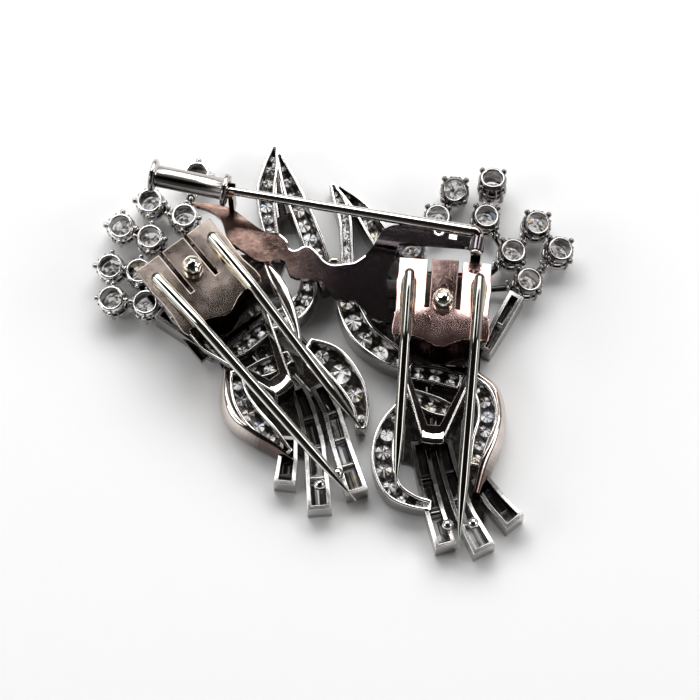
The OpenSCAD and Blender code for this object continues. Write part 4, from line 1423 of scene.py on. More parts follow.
        # The tones paint shade on the end's lower faces
        shape.loft([[Vector((x, y - dip, z - 0.4 * dip)) for y, z in section] for x, dip in across],
                   tones=[1.0] * 5 + [0.8, 0.5, 0.3] + [0.05] * 5)

    def side_strip(self, shape: Shape) -> None:
        """Builds the polished strip beside the V.

        Args:
            shape: The shape that it joins.
        """
        section = ((-0.9, -0.35), (-0.9, -0.22), (-0.5, -0.06), (0.0, 0.0), (0.55, -0.1), (0.9, -0.3),
                   (0.9, -0.45))
        shape.tone = 1.0
        shape.loft([[Vector((x * SHARE + a * wide, y * SHARE + 0.2 * a, z + h)) for a, h in section]
                    for x, y, z, wide in spline(self.spray.strip, 5)])

    def feet(self, shape: Shape) -> None:
        """Builds the post's ear and the four legs that carry the plate.

        Args:
            shape: The shape that they join.
        """
        # The ear and the legs are darkened with painted shade
        shape.tone = 0.15
        px, py = self.post
        ear = [(px - 1, py - 1.2), (px - 1, py + 1.2), (2 - self.half, py + 1.2), (2 - self.half, py - 1.2)]
        shape.slab(ear, BASE_Z, BASE_TOP)
        for x in (1 - self.half, self.half - 1):
            for y in (-1.6, 1 - self.shoulder):
                shape.slab(square(x, y, self.leg / 2, self.leg / 2), FRONT_Z, BASE_Z + 0.1)

    def hinge_lug(self, shape: Shape, x: float) -> None:
        """Builds one lug of the flap's hinge with its bore.

        Args:
            shape: The shape that it joins.
            x: Place of its side at -X.
        """
        reach, bore = 1.1, 0.58
        rim, hole = [], []
        for c, s in ((math.cos(t), math.sin(t)) for t in (math.radians(-90 + 15 * k) for k in range(24))):
            y, z = reach * c, reach * s
            if z < 0:
                y, z = (reach if y > 0 else -reach) * min(1.0, abs(c) * 1.6), -(AXLE_Z - BASE_TOP) - 0.1
            rim.append((y - self.axle_y, z + AXLE_Z))
            hole.append((bore * c - self.axle_y, bore * s + AXLE_Z))
        edges = ((rim, x), (rim, x + self.lug), (hole, x + self.lug), (hole, x))
        shape.loft([[Vector((at, y, z)) for y, z in edge] for edge, at in edges], wrap=True)

    def links(self) -> Shape:
        """Builds the hub, the struts between the settings with their solder, and the stop balls.

        Returns:
            Their shape.
        """
        shape = Shape(self.home)
        # The hub and the struts are darkened with painted shade
        shape.tone = 0.1
        w, s = self.half / 100, self.shoulder / 100
        hub = [(-115 * w, 8 * s), (110 * w, 11 * s), (107 * w, -99 * s), (-98 * w, -99 * s)]
        shape.slab(hub, FLOOR_Z, FLOOR_Z + 0.9)
        for x, y, _, _, tied_to in self.spray.rounds:
            start, end = Vector((x, y)) * SHARE, Vector((x * 0.4, -2)) * SHARE
            if tied_to:
                end = Vector(self.spray.rounds[tied_to - 1][:2]) * SHARE
            self.strut(shape, start, end, self.collet_r, self.collet_r if tied_to else 0.0)
            way = (end - start).normalized()
            for along, side, z, r, tone in self.JOINT_BEADS:
                if tied_to or along <= 2.5:
                    spot = start + way * along + Vector((-way.y, way.x)) * side
                    shape.tone = tone
                    shape.tube([Vector((*spot, z - drop)) for drop in (1.1, 0.12, 0.0)], [r, r, 0.5 * r], 8)
            shape.tone = 0.1
        for ax, ay, bx, by in self.spray.ties:
            self.strut(shape, Vector((ax, ay)) * SHARE, Vector((bx, by)) * SHARE)
        turns = [math.radians(a) for a in range(-90, 91, 15)]
        ball = [(self.stop_r * math.cos(t) + 0.001, self.stop_r * math.sin(t)) for t in turns]
        shape.tone = 1.0
        for x, y in self.spray.stops:
            shape.place = Matrix.Translation((x * SHARE, y * SHARE, 4.0))
            shape.lathe(ball, 24, wrap=False)
        return shape

    @staticmethod
    def strut(shape: Shape, start: Vector, end: Vector, trim: float = 0.0, end_trim: float = 0.0) -> None:
        """Lays a flattened strut between two places, its ends trimmed where they meet a collet's wall.

        Args:
            shape: The shape that it joins.
            start: One end.
            end: The other end.
            trim: Length taken off at the start.
            end_trim: Length taken off at the end.
        """
        way = (end - start).normalized()
        a, b = start + way * trim, end - way * end_trim
        shape.place = Matrix.Identity(4)
        shape.tube([Vector((*p, FLOOR_Z + 0.45)) for p in (a, (a + b) / 2, b)], [0.5, 0.42, 0.5], 10, 0.9)


def between_rows(rows: tuple[Row, ...], at: float) -> float:
    """Reads a table of two columns at a place between its rows."""
    (a, p), (b, q) = next(pair for pair in zip(rows, rows[1:]) if at <= pair[1][0])
    return p + (q - p) * (at - a) / (b - a)


@dataclass
class SprungFlap:
    """A clip's flap: a slotted sheet with rolled sides, two soldered prongs and a ball rivet."""

    side: str
    home: Matrix
    body: Body
    sheet_finish: Finish
    outer_l: float
    inner_l: float
    outer_tip: float
    ball_y: float
    crown: float = 0.12
    # Painted shade on the tongue and on the prongs, as shares
    painted_tongue_shade: float = 0.1
    painted_prong_shade: float = 1.0
    half: float = 6.1
    length: float = 12.4
    thick: float = 0.6
    slot: float = 0.55
    slot_l: float = 6.9
    tongue: float = 3.5
    axle_y: float = 7.6
    prong_r: float = 0.7
    prong_gap: float = 9.2
    prong_root: float = 2.6
    drop: float = 4.8
    taper: float = 8.0
    ball_r: float = 1.35

    # The sheet's side, in hundredths of its length and half width, and the edge of its V, at a share of
    # the half width and in hundredths of the length
    SIDE: ClassVar[tuple[Row, ...]] = (
        (0, 100), (18, 99), (30, 103), (42, 100), (60, 99), (80, 105), (88, 103), (101, 103))
    V_EDGE: ClassVar[tuple[Row, ...]] = ((0.0, 100), (0.35, 91), (0.62, 87), (1.0, 88))
    # The cheek's lower edge, along and up
    CHEEK: ClassVar[tuple[Row, ...]] = (
        (-1.2, FLAP_Z - 0.25), (-3.4, FLAP_Z - 0.8), (-5.3, FLAP_Z - 1.4), (-6.4, AXLE_Z - 0.3),
        (-7.0, AXLE_Z - 1.0), (-7.6, AXLE_Z - 1.2), (-8.2, AXLE_Z - 1.0), (-8.8, AXLE_Z - 0.3),
        (-9.6, FLAP_Z - 1.2), (-10.6, FLAP_Z - 0.7), (-11.2, FLAP_Z - 0.2))
    # The solder's section, in shares of its width and height
    SOLDER: ClassVar[tuple[Row, ...]] = (
        (-1.15, 0.0), (-1.0, 0.25), (-0.85, 0.8), (-0.6, 1.3), (0.6, 1.3), (0.85, 0.8), (1.0, 0.25),
        (1.15, 0.0))

    def build(self) -> None:
        """Builds the sheet, the cheeks, the prongs with their solder and the rivet."""
        self.flap_piece(self.sheet(), "flap_sheet", self.sheet_finish, bevel=0.14, sharp=25)
        self.flap_piece(self.cheeks(), "flap_cheeks", SETTING, bevel=0.1)
        prongs, solder = Shape(self.home), Shape(self.home)
        self.prong(prongs, solder, 1, self.outer_l, self.outer_tip)
        self.prong(prongs, solder, -1, self.inner_l, 0.3 - self.prong_gap / 2)
        self.flap_piece(prongs, "prongs", PRONG, sharp=60)
        self.flap_piece(solder, "solder", SOLDER, sharp=60)
        self.rivet()

    def flap_piece(self, shape: Shape, what: str, finish: Finish, **edges: float) -> None:
        """Makes a piece that stands for a part of the flap."""
        shape.build(f"{self.side}_{what}", finish, Slot.FLAP, self.body, [f"{self.side}_flap"], **edges)

    def side_at(self, y: float) -> float:
        """Gives the half width of the sheet at a distance from its top edge."""
        return between_rows(self.SIDE, 100 * y / self.length) * self.half / 100

    def end_at(self, across: float) -> float:
        """Gives the distance from the top edge to the edge of the V at a share of the half width."""
        return between_rows(self.V_EDGE, across) * self.length / 100

    def level(self, x: float, y: float) -> float:
        """Gives the height of the sheet's face, where the wings and the point of the V fall a little.

        Args:
            x: Place across.
            y: Distance from the top edge.

        Returns:
            The height.
        """
        wing = min(max((abs(x) - self.tongue / 2 - self.slot) / 0.6 + 1, 0.0), 1.0)
        fall = self.crown * wing * max(1 - y / (self.slot_l + 0.8), 0.0) ** 1.1
        return FLAP_TOP - fall - 0.22 * max((y - 8.2) / 4.2, 0.0) ** 2

    def sheet(self) -> Shape:
        """Builds the slotted sheet as a grid of a little crowned wings, a flat tongue and a V below them.

        Returns:
            The sheet's shape.
        """
        shape = Shape(self.home)
        inner, outer = self.tongue / 2, self.tongue / 2 + self.slot
        wing = [0.0, 0.25, 0.5, 0.75, 1.0]
        columns = [(-1, s) for s in reversed(wing)] + [(0, x) for x in (-inner, -inner / 3, inner / 3, inner)]
        columns += [(1, s) for s in wing]
        straight, below = 8, 7
        count = straight + below + 1

        def across(side: int, s: float, y: float) -> float:
            """Gives the place across of a column at a distance from the top edge."""
            return s if side == 0 else side * (outer + (self.side_at(y) - outer) * s)

        spots: list[tuple[float, float]] = []
        for side, s in columns:
            for k in range(count):
                y = self.slot_l * min(k / straight, 1.0)
                x = across(side, s, y)
                if k > straight:
                    end = self.end_at(min(abs(x) / self.half, 1.0))
                    y = self.slot_l + (end - self.slot_l) * (k - straight) / below
                    x = across(side, s, y)
                spots.append((x, y))
        half = len(spots)
        verts = [Vector((x, -y, self.level(x, y) - low)) for low in (0.0, self.thick) for x, y in spots]
        solid = set()
        for i, (here, there) in enumerate(zip(columns, columns[1:])):
            is_slot = here[0] != there[0]
            solid |= {(i, k) for k in range(count - 1) if not (is_slot and k < straight)}
        faces: list[tuple[int, ...]] = []
        for i, k in sorted(solid):
            a, b = i * count + k, (i + 1) * count + k
            faces += [(a, a + 1, b + 1, b), (half + a, half + b, half + b + 1, half + a + 1)]
            sides = (((-1, 0), (a, a + 1)), ((1, 0), (b + 1, b)), ((0, -1), (b, a)), ((0, 1), (a + 1, b + 1)))
            for (di, dk), (p, q) in sides:
                if (i + di, k + dk) not in solid:
                    faces.append((q, p, half + p, half + q))
        shape.add(verts, faces)

        def shade(spot: Vector) -> float:
            """Paints shade on the tongue from the foot of the slots up."""
            rise = min(max((self.slot_l + 1.2 + spot.y) / 1.5, 0.0), 1.0)
            return 1.0 if abs(spot.x) >= inner + 0.1 else 1 - self.painted_tongue_shade * rise

        shape.fade(0, shade)
        return shape

    def cheeks(self) -> Shape:
        """Builds the rolled sides that carry the axle.

        Returns:
            The cheeks' shape.
        """
        shape = Shape(self.home)
        # The cheeks are darkened with painted shade
        shape.tone = 0.6
        for s in (-1, 1):
            x0, x1 = s * (self.half - self.thick), s * self.half
            shape.loft([[Vector((x0, y, z)), Vector((x1, y, z)), Vector((x1, y, FLAP_Z + 0.1)),
                         Vector((x0, y, FLAP_Z + 0.1))] for y, z in self.CHEEK])
        return shape

    def prong(self, prongs: Shape, solder: Shape, sign: int, length: float, tip_x: float) -> None:
        """Builds one prong from its rounded root to its point, and the solder that holds it.

        Args:
            prongs: The shape that the wire joins.
            solder: The shape that the solder joins.
            sign: 1 for the outer side and -1 for the inner one.
            length: Length of the prong along the clip.
            tip_x: Place of the point across the clip.
        """
        r = self.prong_r
        root = Vector((sign * self.prong_gap / 2, -self.prong_root, FLAP_TOP + r - 0.1))
        tip = Vector((tip_x, -self.prong_root - length, root.z - self.drop))
        flat = (self.length - 1 - self.prong_root) / length
        knee = Vector((root.x + flat * (tip.x - root.x), 1 - self.length, root.z))
        taper = self.taper / (tip - knee).length
        turns = [math.pi / 2 * (1 - k / 5) for k in range(6)]
        run = [(root + Vector((0, r * math.sin(t), 0)), max(r * math.cos(t), 0.05)) for t in turns]
        run += [(root.lerp(knee, share), r) for share in (0.35, 0.7, 0.92)]
        run += [(knee.lerp(tip, share), r) for share in (0.02, 0.05, 0.1, 0.3, 0.5, 1 - taper)]
        run += [(knee.lerp(tip, 1 - taper * (1 - k / 8)), max(r * (1 - (k / 8) ** 1.25), 0.1))
                for k in range(1, 9)]
        first = len(prongs.faces)
        prongs.tube([spot for spot, _ in run], [size for _, size in run], 24)
        # Painted shade: black at the prong's root, and the prong's own share below
        prongs.fade(first, lambda spot: 0.05 if spot.y > -self.prong_root - 0.9 else self.painted_prong_shade)
        rings: list[list[Vector]] = []
        for k in range(13):
            share = k / 12
            spot = root.lerp(knee, share * 0.96) + Vector((0, 0.75 * (1 - share), 0))
            swell = 1.15 + 0.12 * math.sin(5 * share + sign) - 0.25 * share
            width = r * swell * min(1.0, 0.35 + 4 * share) + 0.12
            height = 0.42 * min(1.0, 0.5 + 3 * share)
            rings.append([Vector((spot.x + width * x, spot.y, FLAP_TOP - 0.05 + height * z))
                          for x, z in self.SOLDER])
        solder.loft(rings)

    def rivet(self) -> None:
        """Builds the hammered ball of the rivet with the shank and flat head under the sheet."""
        shape = Shape(self.home)
        shape.place = Matrix.Translation((0, -self.ball_y, 0))
        r, seat, under = self.ball_r, FLAP_TOP + FIT, FLAP_Z - FIT
        middle = seat + 0.35 * 2 * r
        profile = [(0.001, under - 0.5), (0.8, under - 0.5), (0.9, under - 0.42), (0.9, under - 0.08),
                   (0.8, under), (0.5, under), (0.5, seat)]
        low = math.asin(-0.7)
        for t in (low + (math.pi / 2 - low) * k / 14 for k in range(15)):
            profile.append((max(r * math.cos(t), 0.001), middle + r * math.sin(t)))
        shape.lathe(profile, 30, wrap=False)
        centre = shape.place @ Vector((0, 0, middle))
        for i, v in enumerate(shape.verts):
            if v.z > seat:
                dent = noise.cell(v * 1.1) * 0.06 + noise.noise(v * 1.3) * 0.12
                shape.verts[i] = centre + (v - centre) * (1 - max(dent, 0.0))
        shape.build(f"{self.side}_ball_rivet", BALL, Slot.RIVET, self.body, [f"{self.side}_rivet"], sharp=30)


@dataclass
class PinAndCatch:
    """The brooch pin with its bent leg, and the barrel that slides over the catch's tube."""

    joint: Vector = field(default_factory=lambda: Vector((50.5, 33.0)) * FRAME_L / 100)
    mouth: Vector = field(default_factory=lambda: Vector((-36.3, 48.7)) * FRAME_L / 100)
    root_r: float = 0.8
    end_r: float = 0.575
    leg_r: float = 0.5
    leg_l: float = 2.9
    pin_in: float = 3.6
    turn: float = 2.0
    barrel_l: float = 10.4
    barrel_r: float = 1.45
    bore_r: float = 1.13
    flange_r: float = 2.28
    flange_t: float = 0.7

    # The bend between the leg and the pin: along, aside and radius
    BEND: ClassVar[tuple[Row, ...]] = ((0.0, 0.8, 0.6), (0.06, 0.45, 0.7), (0.25, 0.15, 0.76))
    # The head under the knuckle and the rounded rim of a flange, as radius and height
    HEAD: ClassVar[tuple[Row, ...]] = (
        (0.001, 2.75), (0.72, 2.75), (0.8, 2.85), (0.8, 3.0), (0.66, 3.12), (0.3, 3.2), (0.001, 3.2))
    RIM: ClassVar[tuple[Row, ...]] = (
        (-0.26, 0.0), (-0.1, 0.08), (-0.02, 0.22), (0.0, 0.35), (-0.02, 0.48), (-0.1, 0.62), (-0.26, 0.7))
    # Painted light on the barrel up to a place across it: a band of painted shade on its back, black and grey
    # painted in front
    PAINTED_BARREL_BANDS: ClassVar[tuple[Row, ...]] = (
        (-1.02, 1.0), (-0.5, 0.6), (0.3, 1.0), (0.62, 0.02), (1.02, 0.35), (9.0, 0.3))

    def line(self, start: Vector, turn: float) -> Matrix:
        """Gives the placement at start with X along the pin, turned by some degrees.

        Args:
            start: The placement's origin.
            turn: Turn in degrees, clockwise.

        Returns:
            The placement.
        """
        way = self.mouth - self.joint
        angle = math.atan2(way.y, way.x) - math.radians(turn)
        return Matrix.Translation((start.x, start.y, PIN_Z)) @ Matrix.Rotation(angle, 4, "Z")

    def build(self) -> None:
        """Builds the pin and the barrel."""
        self.pin().build("pin_wire", WIRE, Slot.WIRE, Body.PIN, ["brooch_pin"], sharp=50)
        self.barrel().build("catch_barrel", TUBE, Slot.CATCH, Body.CATCH, ["catch_slide"], sharp=50)

    def pin(self) -> Shape:
        """Builds the pin from the foot of its leg to its point, and the head under the leg.

        Returns:
            The pin's shape.
        """
        shape = Shape(self.line(self.joint, 0))
        length, start = (self.mouth - self.joint).length, 1.2
        run = [(0.0, self.leg_l, self.leg_r), (0.0, 1.1, self.leg_r), *self.BEND, (0.6, 0.0, self.root_r),
               (start, 0.0, self.root_r)]
        run += [(start + (length - start) * k / 8, 0.0, self.root_r + (self.end_r - self.root_r) * k / 8)
                for k in range(1, 9)]
        run += [(length + self.pin_in * k / 4, 0.0, max(self.end_r * (1 - (k / 4) ** 1.4), 0.1))
                for k in range(1, 5)]
        shape.tube([Vector((x, y, 0)) for x, y, _ in run], [r for _, _, r in run], 24)
        shape.fade(0, self.pin_painted_light)
        shape.place = Matrix.Rotation(-math.pi / 2, 4, "X")
        shape.lathe(list(self.HEAD), 24, wrap=False)
        return shape

    @staticmethod
    def pin_painted_light(spot: Vector) -> float:
        """Gives the share of painted light on the pin: less at its bend and on its lower side.

        Args:
            spot: A place in the pin's frame.

        Returns:
            The share of painted light.
        """
        if spot.x < 0.9 and spot.y < 1.6:
            return 0.35
        return 0.4 if spot.z < -0.3 and spot.y > 0 else 1.0

    def barrel(self) -> Shape:
        """Builds the barrel with a flange at each end, open towards the pin.

        Returns:
            The barrel's shape.
        """
        shape = Shape(self.line(self.mouth, self.turn))
        shape.place = Matrix.Rotation(math.pi / 2, 4, "Y")
        b, t, end = self.barrel_r, self.flange_t, self.barrel_l
        profile = [(self.bore_r, end - t + 0.2), (self.bore_r, 0.05), (self.bore_r + 0.12, 0.0)]
        profile += [(self.flange_r + d, z) for d, z in self.RIM]
        profile += [(b + 0.12, t), (b, t + 0.12), (b, end / 2), (b, end - t - 0.12), (b + 0.12, end - t)]
        profile += [(self.flange_r + d, end - t + z) for d, z in self.RIM]
        profile += [(1.2, end - 0.02), (0.6, end), (0.001, end)]
        shape.loft([[Vector((r * c, r * s, z)) for c, s in circle(40)] for r, z in profile])
        # Paints the bands of light and shade across the barrel
        shape.fade(0, lambda spot: next(tone for mark, tone in self.PAINTED_BARREL_BANDS if spot.y / b < mark))
        return shape


@dataclass
class BroochFrame:
    """The frame plate and the small plain solids, with the details that lie on the plate."""

    arm_eye: tuple[float, float] = (14.05, 14.82)
    arm_square: tuple[float, float] = (15.9, 14.02)
    square_half: tuple[float, float] = (0.5, 0.4)
    solder_spot: tuple[float, float] = (0.12, 10.68)
    small_edge: float = 0.1

    FINISHES: ClassVar[dict[str, Finish]] = {
        "brooch_frame": PLATE_PAINTED_REFLECTION, "left_axle": WIRE, "right_axle": WIRE, "left_post": WIRE, "right_post": WIRE}
    # The plate's upper edge in hundredths of the frame
    UPPER_EDGE: ClassVar[list[Row]] = [
        (-18.5, 38), (-16, 35.5), (-15, 32.5), (-13, 32), (-10, 33.5), (-7.5, 33), (-5, 30.5), (-3, 28),
        (0, 26.5), (4.5, 27), (7.5, 27.5), (11, 30)]
    # The bead along it, as distance inwards and height, and the eye's and the solder's radius and height
    EDGE_BEAD: ClassVar[tuple[Row, ...]] = (
        (0.06, -0.12), (0.06, 0.02), (0.24, 0.08), (0.33, 0.04), (0.33, -0.1))
    EYE: ClassVar[tuple[Row, ...]] = (
        (0.4, -0.05), (0.4, 0.06), (0.5, 0.14), (0.66, 0.14), (0.76, 0.02), (0.76, -0.05))
    EYE_FLOOR: ClassVar[tuple[Row, ...]] = ((0.001, -0.05), (0.42, -0.05), (0.42, 0.03), (0.001, 0.03))
    DOME: ClassVar[tuple[Row, ...]] = (
        (0.001, -0.1), (0.62, -0.1), (0.6, 0.04), (0.42, 0.16), (0.2, 0.22), (0.001, 0.23))

    def build(self) -> None:
        """Dresses the solids that are carried over, and builds the details."""
        for name, finish in self.FINISHES.items():
            self.dress(name, finish)
        self.details()

    def dress(self, name: str, finish: Finish) -> None:
        """Gives a carried-over solid its finish, and rounds its edges where it is a small one.

        Args:
            name: The solid's name.
            finish: Its finish.
        """
        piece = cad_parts[name]
        piece.data.materials.clear()
        piece.data.materials.append(finish.material())
        tone = piece.data.attributes.new("tone", "FLOAT", "FACE")
        tone.data.foreach_set("value", [1.0] * len(piece.data.polygons))
        piece.data.shade_smooth()
        piece.data.set_sharp_from_angle(angle=math.radians(30))
        if name != "brooch_frame":
            round_edges(piece, self.small_edge)
        LOG.info("%s: dressed", name)

    def details(self) -> None:
        """Builds the bead along the plate's upper edge, its arm's eye and square, and a spot of solder."""
        bead, dark, spot = Shape(), Shape(), Shape()
        edge = [Vector(p) * FRAME_L / 100 for p in spline(self.UPPER_EDGE, 6)]
        rings: list[list[Vector]] = []
        for i, p in enumerate(edge):
            way = (edge[min(i + 1, len(edge) - 1)] - edge[max(i - 1, 0)]).normalized()
            inward = Vector((way.y, -way.x))
            rings.append([Vector((*(p + inward * d), PLATE_TOP + z)) for d, z in self.EDGE_BEAD])
        bead.loft(rings)
        bead.place = dark.place = Matrix.Translation((*self.arm_eye, PLATE_TOP))
        bead.lathe(list(self.EYE), 20)
        # The eye's floor is painted black as shade
        dark.tone = 0.0
        dark.lathe(list(self.EYE_FLOOR), 20, wrap=False)
        bead.place = (Matrix.Translation((*self.arm_square, PLATE_TOP))
                      @ Matrix.Rotation(math.radians(-8), 4, "Z") @ Matrix.Rotation(math.radians(-9), 4, "X"))
        bead.slab(square(0, 0, *self.square_half), -0.15, 0.04)
        bead.build("frame_edge_bead", RIM, Slot.FRAME, Body.BROOCH, [], sharp=40)
        dark.build("frame_arm_eye", SETTING, Slot.FRAME, Body.BROOCH, [], sharp=40)
        squashed = Matrix.Diagonal((1.2, 0.75, 1.0, 1.0))
        spot.place = Matrix.Translation((*self.solder_spot, PLATE_TOP)) @ squashed
        spot.lathe(list(self.DOME), 18, wrap=False)
        spot.build("frame_solder_spot", SOLDER, Slot.FRAME, Body.BROOCH, [], sharp=60)


# Studio


@dataclass
class Studio:
    """The camera over the brooch, the white surface, and soft light from the back and the sides."""

    target: Vector = field(default_factory=lambda: Vector((2.24, -1.2, 5.0)))
    distance: float = 420.0
    elevation: float = 70.0
    lens: float = 164.2
    sensor: float = 36.0
    light_reach: float = 0.9
    room_strength: float = 0.75

    # Direction from the brooch in degrees, 0 at +X, and height in degrees; width, height in metres, power
    SOFTBOXES: ClassVar[dict[str, Row]] = {
        "back_softbox": (90, 48, 1.0, 0.56, 8.2),
        "upper_left_softbox": (146, 52, 0.22, 0.3, 0.8),
        "upper_right_softbox": (34, 52, 0.22, 0.3, 0.5),
        "left_softbox": (188, 28, 0.5, 0.26, 2.2),
        "right_softbox": (-8, 28, 0.5, 0.26, 2.2)}
    # The room's grey by height: a pale wall low down and a dark ceiling
    ROOM: ClassVar[list[tuple[float, Colour]]] = [
        (0.0, (0.55, 0.55, 0.55)), (0.35, (0.42, 0.41, 0.4)), (0.6, (0.16, 0.15, 0.145)),
        (0.8, (0.045, 0.036, 0.033))]

    def build(self) -> None:
        """Sets up the camera, the surface, the room and the lights."""
        self.camera()
        self.floor()
        self.room()
        for name, row in self.SOFTBOXES.items():
            self.softbox(name, *row)
        bpy.context.scene.view_settings.view_transform = "Standard"

    @staticmethod
    def away(azimuth: float, elevation: float) -> Vector:
        """Gives the direction from the brooch at an azimuth and a height in degrees."""
        a, e = math.radians(azimuth), math.radians(elevation)
        return Vector((math.cos(e) * math.cos(a), math.cos(e) * math.sin(a), math.sin(e)))

    def hang(self, name: str, data: bpy.types.ID, spot: Vector, away: Vector) -> bpy.types.Object:
        """Places a camera or light, its back to a direction.

        Args:
            name: The object's name.
            data: The camera or light.
            spot: Its place in metres.
            away: Direction of its back.

        Returns:
            The object.
        """
        made = bpy.data.objects.new(name, data)
        made.location = spot
        made.rotation_euler = away.to_track_quat("Z", "Y").to_euler()
        bpy.context.scene.collection.objects.link(made)
        return made

    def camera(self) -> None:
        """Places the camera at the photograph's angle."""
        rise = math.radians(self.elevation)
        data = bpy.data.cameras.new("camera")
        data.lens = self.lens
        data.sensor_width = self.sensor
        data.clip_start = 0.01
        data.clip_end = 10.0
        away = Vector((0, -math.cos(rise), math.sin(rise)))
        spot = (self.target + away * self.distance) * MM
        bpy.context.scene.camera = self.hang("camera", data, spot, away)

    def floor(self) -> None:
        """Lays the white surface that the brooch rests on."""
        half = 1.5
        mesh = bpy.data.meshes.new("floor")
        mesh.from_pydata([(x, y, 0) for x, y in square(0, 0, half, half)], [], [(0, 1, 2, 3)])
        mesh.materials.append(Paper().material())
        floor = bpy.data.objects.new("floor", mesh)
        bpy.context.scene.collection.objects.link(floor)

    def softbox(self, name: str, azimuth: float, elevation: float, width: float, height: float,
                power: float) -> None:
        """Hangs a soft rectangular light that faces the brooch.

        Args:
            name: The light's name.
            azimuth: Direction from the brooch in degrees, 0 at +X and 90 at +Y.
            elevation: Height in degrees.
            width: Width in metres.
            height: Height in metres.
            power: Power in watts.
        """
        data = bpy.data.lights.new(name, "AREA")
        data.shape = "RECTANGLE"
        data.size, data.size_y = width, height
        data.energy = power
        away = self.away(azimuth, elevation)
        self.hang(name, data, away * self.light_reach, away)

    def room(self) -> None:
        """Makes the room: dim, with a pale wall low behind the brooch and a dark one in front."""
        world = bpy.data.worlds.new("studio")
        world.use_nodes = True
        bpy.context.scene.world = world
        g = Graph(world.node_tree)
        split = g.node("SeparateXYZ")
        g.join(g.node("TexCoord").outputs["Generated"], split.inputs[0])
        rise = g.ramp(split.outputs["Z"], self.ROOM)
        shade = g.reach(split.outputs["Y"], -0.3, 0.35, 0.25, 1.0)
        g.feed(world.node_tree.nodes["Background"], Color=g.mix(1.0, rise, shade, "MULTIPLY"),
               Strength=self.room_strength)


# The two clips


LEFT_SPRAY = Spray(
    rounds=[(-6, 18, 0, 6, 2), (-10, 9, 0, 0, 0), (-19.5, 16, -4, -4, 2), (4.5, 17.5, 4, 6, 5),
            (0.5, 10, 2, 4, 0), (13.5, 10, 4, 8, 7), (8.5, 4, 2, 6, 0), (18.5, 2, 0, 10, 9),
            (12.5, -4.5, 0, 6, 0)],
    ribbons=[
        [(-42, 10.4, 0.8, 80), (-37, 6, 2.1, 90), (-31.5, 1, 2.6, 90), (-27.5, -5, 2.4, 85),
         (-23.5, -13, 1.8, 80)],
        [(-41.2, 8, 0.9, 86), (-37, -3.5, 2.5, 110), (-34, -13, 2.9, 115), (-31, -22, 3, 105),
         (-27.5, -31.5, 1.9, 90)],
        [(-26, -24, 1.8, 90), (-22, -29, 2.6, 95), (-15, -31, 2.8, 100), (-8, -29, 2.4, 100)],
        [(-13.5, -40, 1.6, 90), (-15.5, -47, 3.7, 95), (-15.5, -55.5, 3.5, 95), (-13.5, -62.5, 2.4, 90),
         (-9.5, -67.5, 1.3, 80)],
        [(6, -34, 1.6, 85), (9.5, -40.5, 2.4, 90), (10.5, -47, 2.8, 90), (10, -54, 2.5, 90),
         (9.5, -61, 1.6, 80)],
        [(6.5, -29, 1.8, 90), (0, -30, 2.6, 94), (-9, -29.4, 2.1, 92)],
        [(4.5, -36.5, 1.6, 80), (-1, -38.5, 2.7, 85), (-8, -40, 1.8, 80)]],
    bands=[[(8.5, -33, 7.5, -30.5), (12, -39, 14, -37), (13.5, -45, 16.5, -43.5), (12.5, -51, 15, -51.5),
            (10.5, -57, 12.5, -58), (9.5, -63, 10.5, -63.5)]],
    bars=[
        [(12, -8.5, 1.9, 90), (9, -17.5, 2.1, 85), (7, -26, 1.6, 80)],
        [(6, -57, 2.2, 70), (11, -62.5, 2.7, 80), (15.5, -67, 2.9, 85)],
        [(-4, -47.5, 2.2, 75), (-2, -54, 2.4, 75), (2, -62.5, 2.8, 75), (12.5, -78, 3.2, 85)],
        [(-8.5, -50.5, 2.2, 75), (-7, -58.5, 2.4, 75), (-3, -67.5, 2.7, 75), (2, -80.5, 3, 85)]],
    rib_side=-1, rib_reach=0.72,
    rib_section=[(0.0, 0.5, 0.6), (0.12, 0.16, 1.0), (0.24, 0.2, 0.4), (0.36, 0.7, 0.06), (0.64, 0.7, 0.4),
                 (0.76, 0.2, 1.0), (0.88, 0.16, 0.6), (1.0, 0.5, 0.05), (1.0, 2.4, 0.05), (0.0, 2.4, 0.05)],
    strip=[(-17.7, -17.4, 6.3, 0.5), (-16.6, -23.5, 6.2, 1.0), (-15.0, -29.9, 6.1, 0.9),
           (-12.7, -36.1, 5.9, 0.6), (-9.6, -42, 5.8, 0.3)],
    ties=[(-4, -24.5, -4, -27.6), (-1, -32.3, -1, -35.9), (-1, -41.3, -1, -46.8),
          (-13.5, -33.4, -13.5, -40.3), (-12.3, -52.5, -10.4, -52.5), (-6.5, -51.5, -4.8, -51.5),
          (6.3, -30.2, 6, -34.4), (-23.6, -12.4, -11.5, -12), (-29, -23.5, -25.8, -24)],
    stops=[(3, -73.5), (8.5, -73)],
    grounds=[
        [(-9, -28), (7, -28), (9, -36), (9.5, -44), (9, -54), (7, -59), (5, -66), (0, -64), (-6, -60),
         (-12, -60), (-12.5, -50), (-11.5, -42), (-9, -36)],
        [(-11, -3), (-16, -7), (-23, -12), (-25, -16), (-19, -20), (-16, -27), (-11, -26)]])
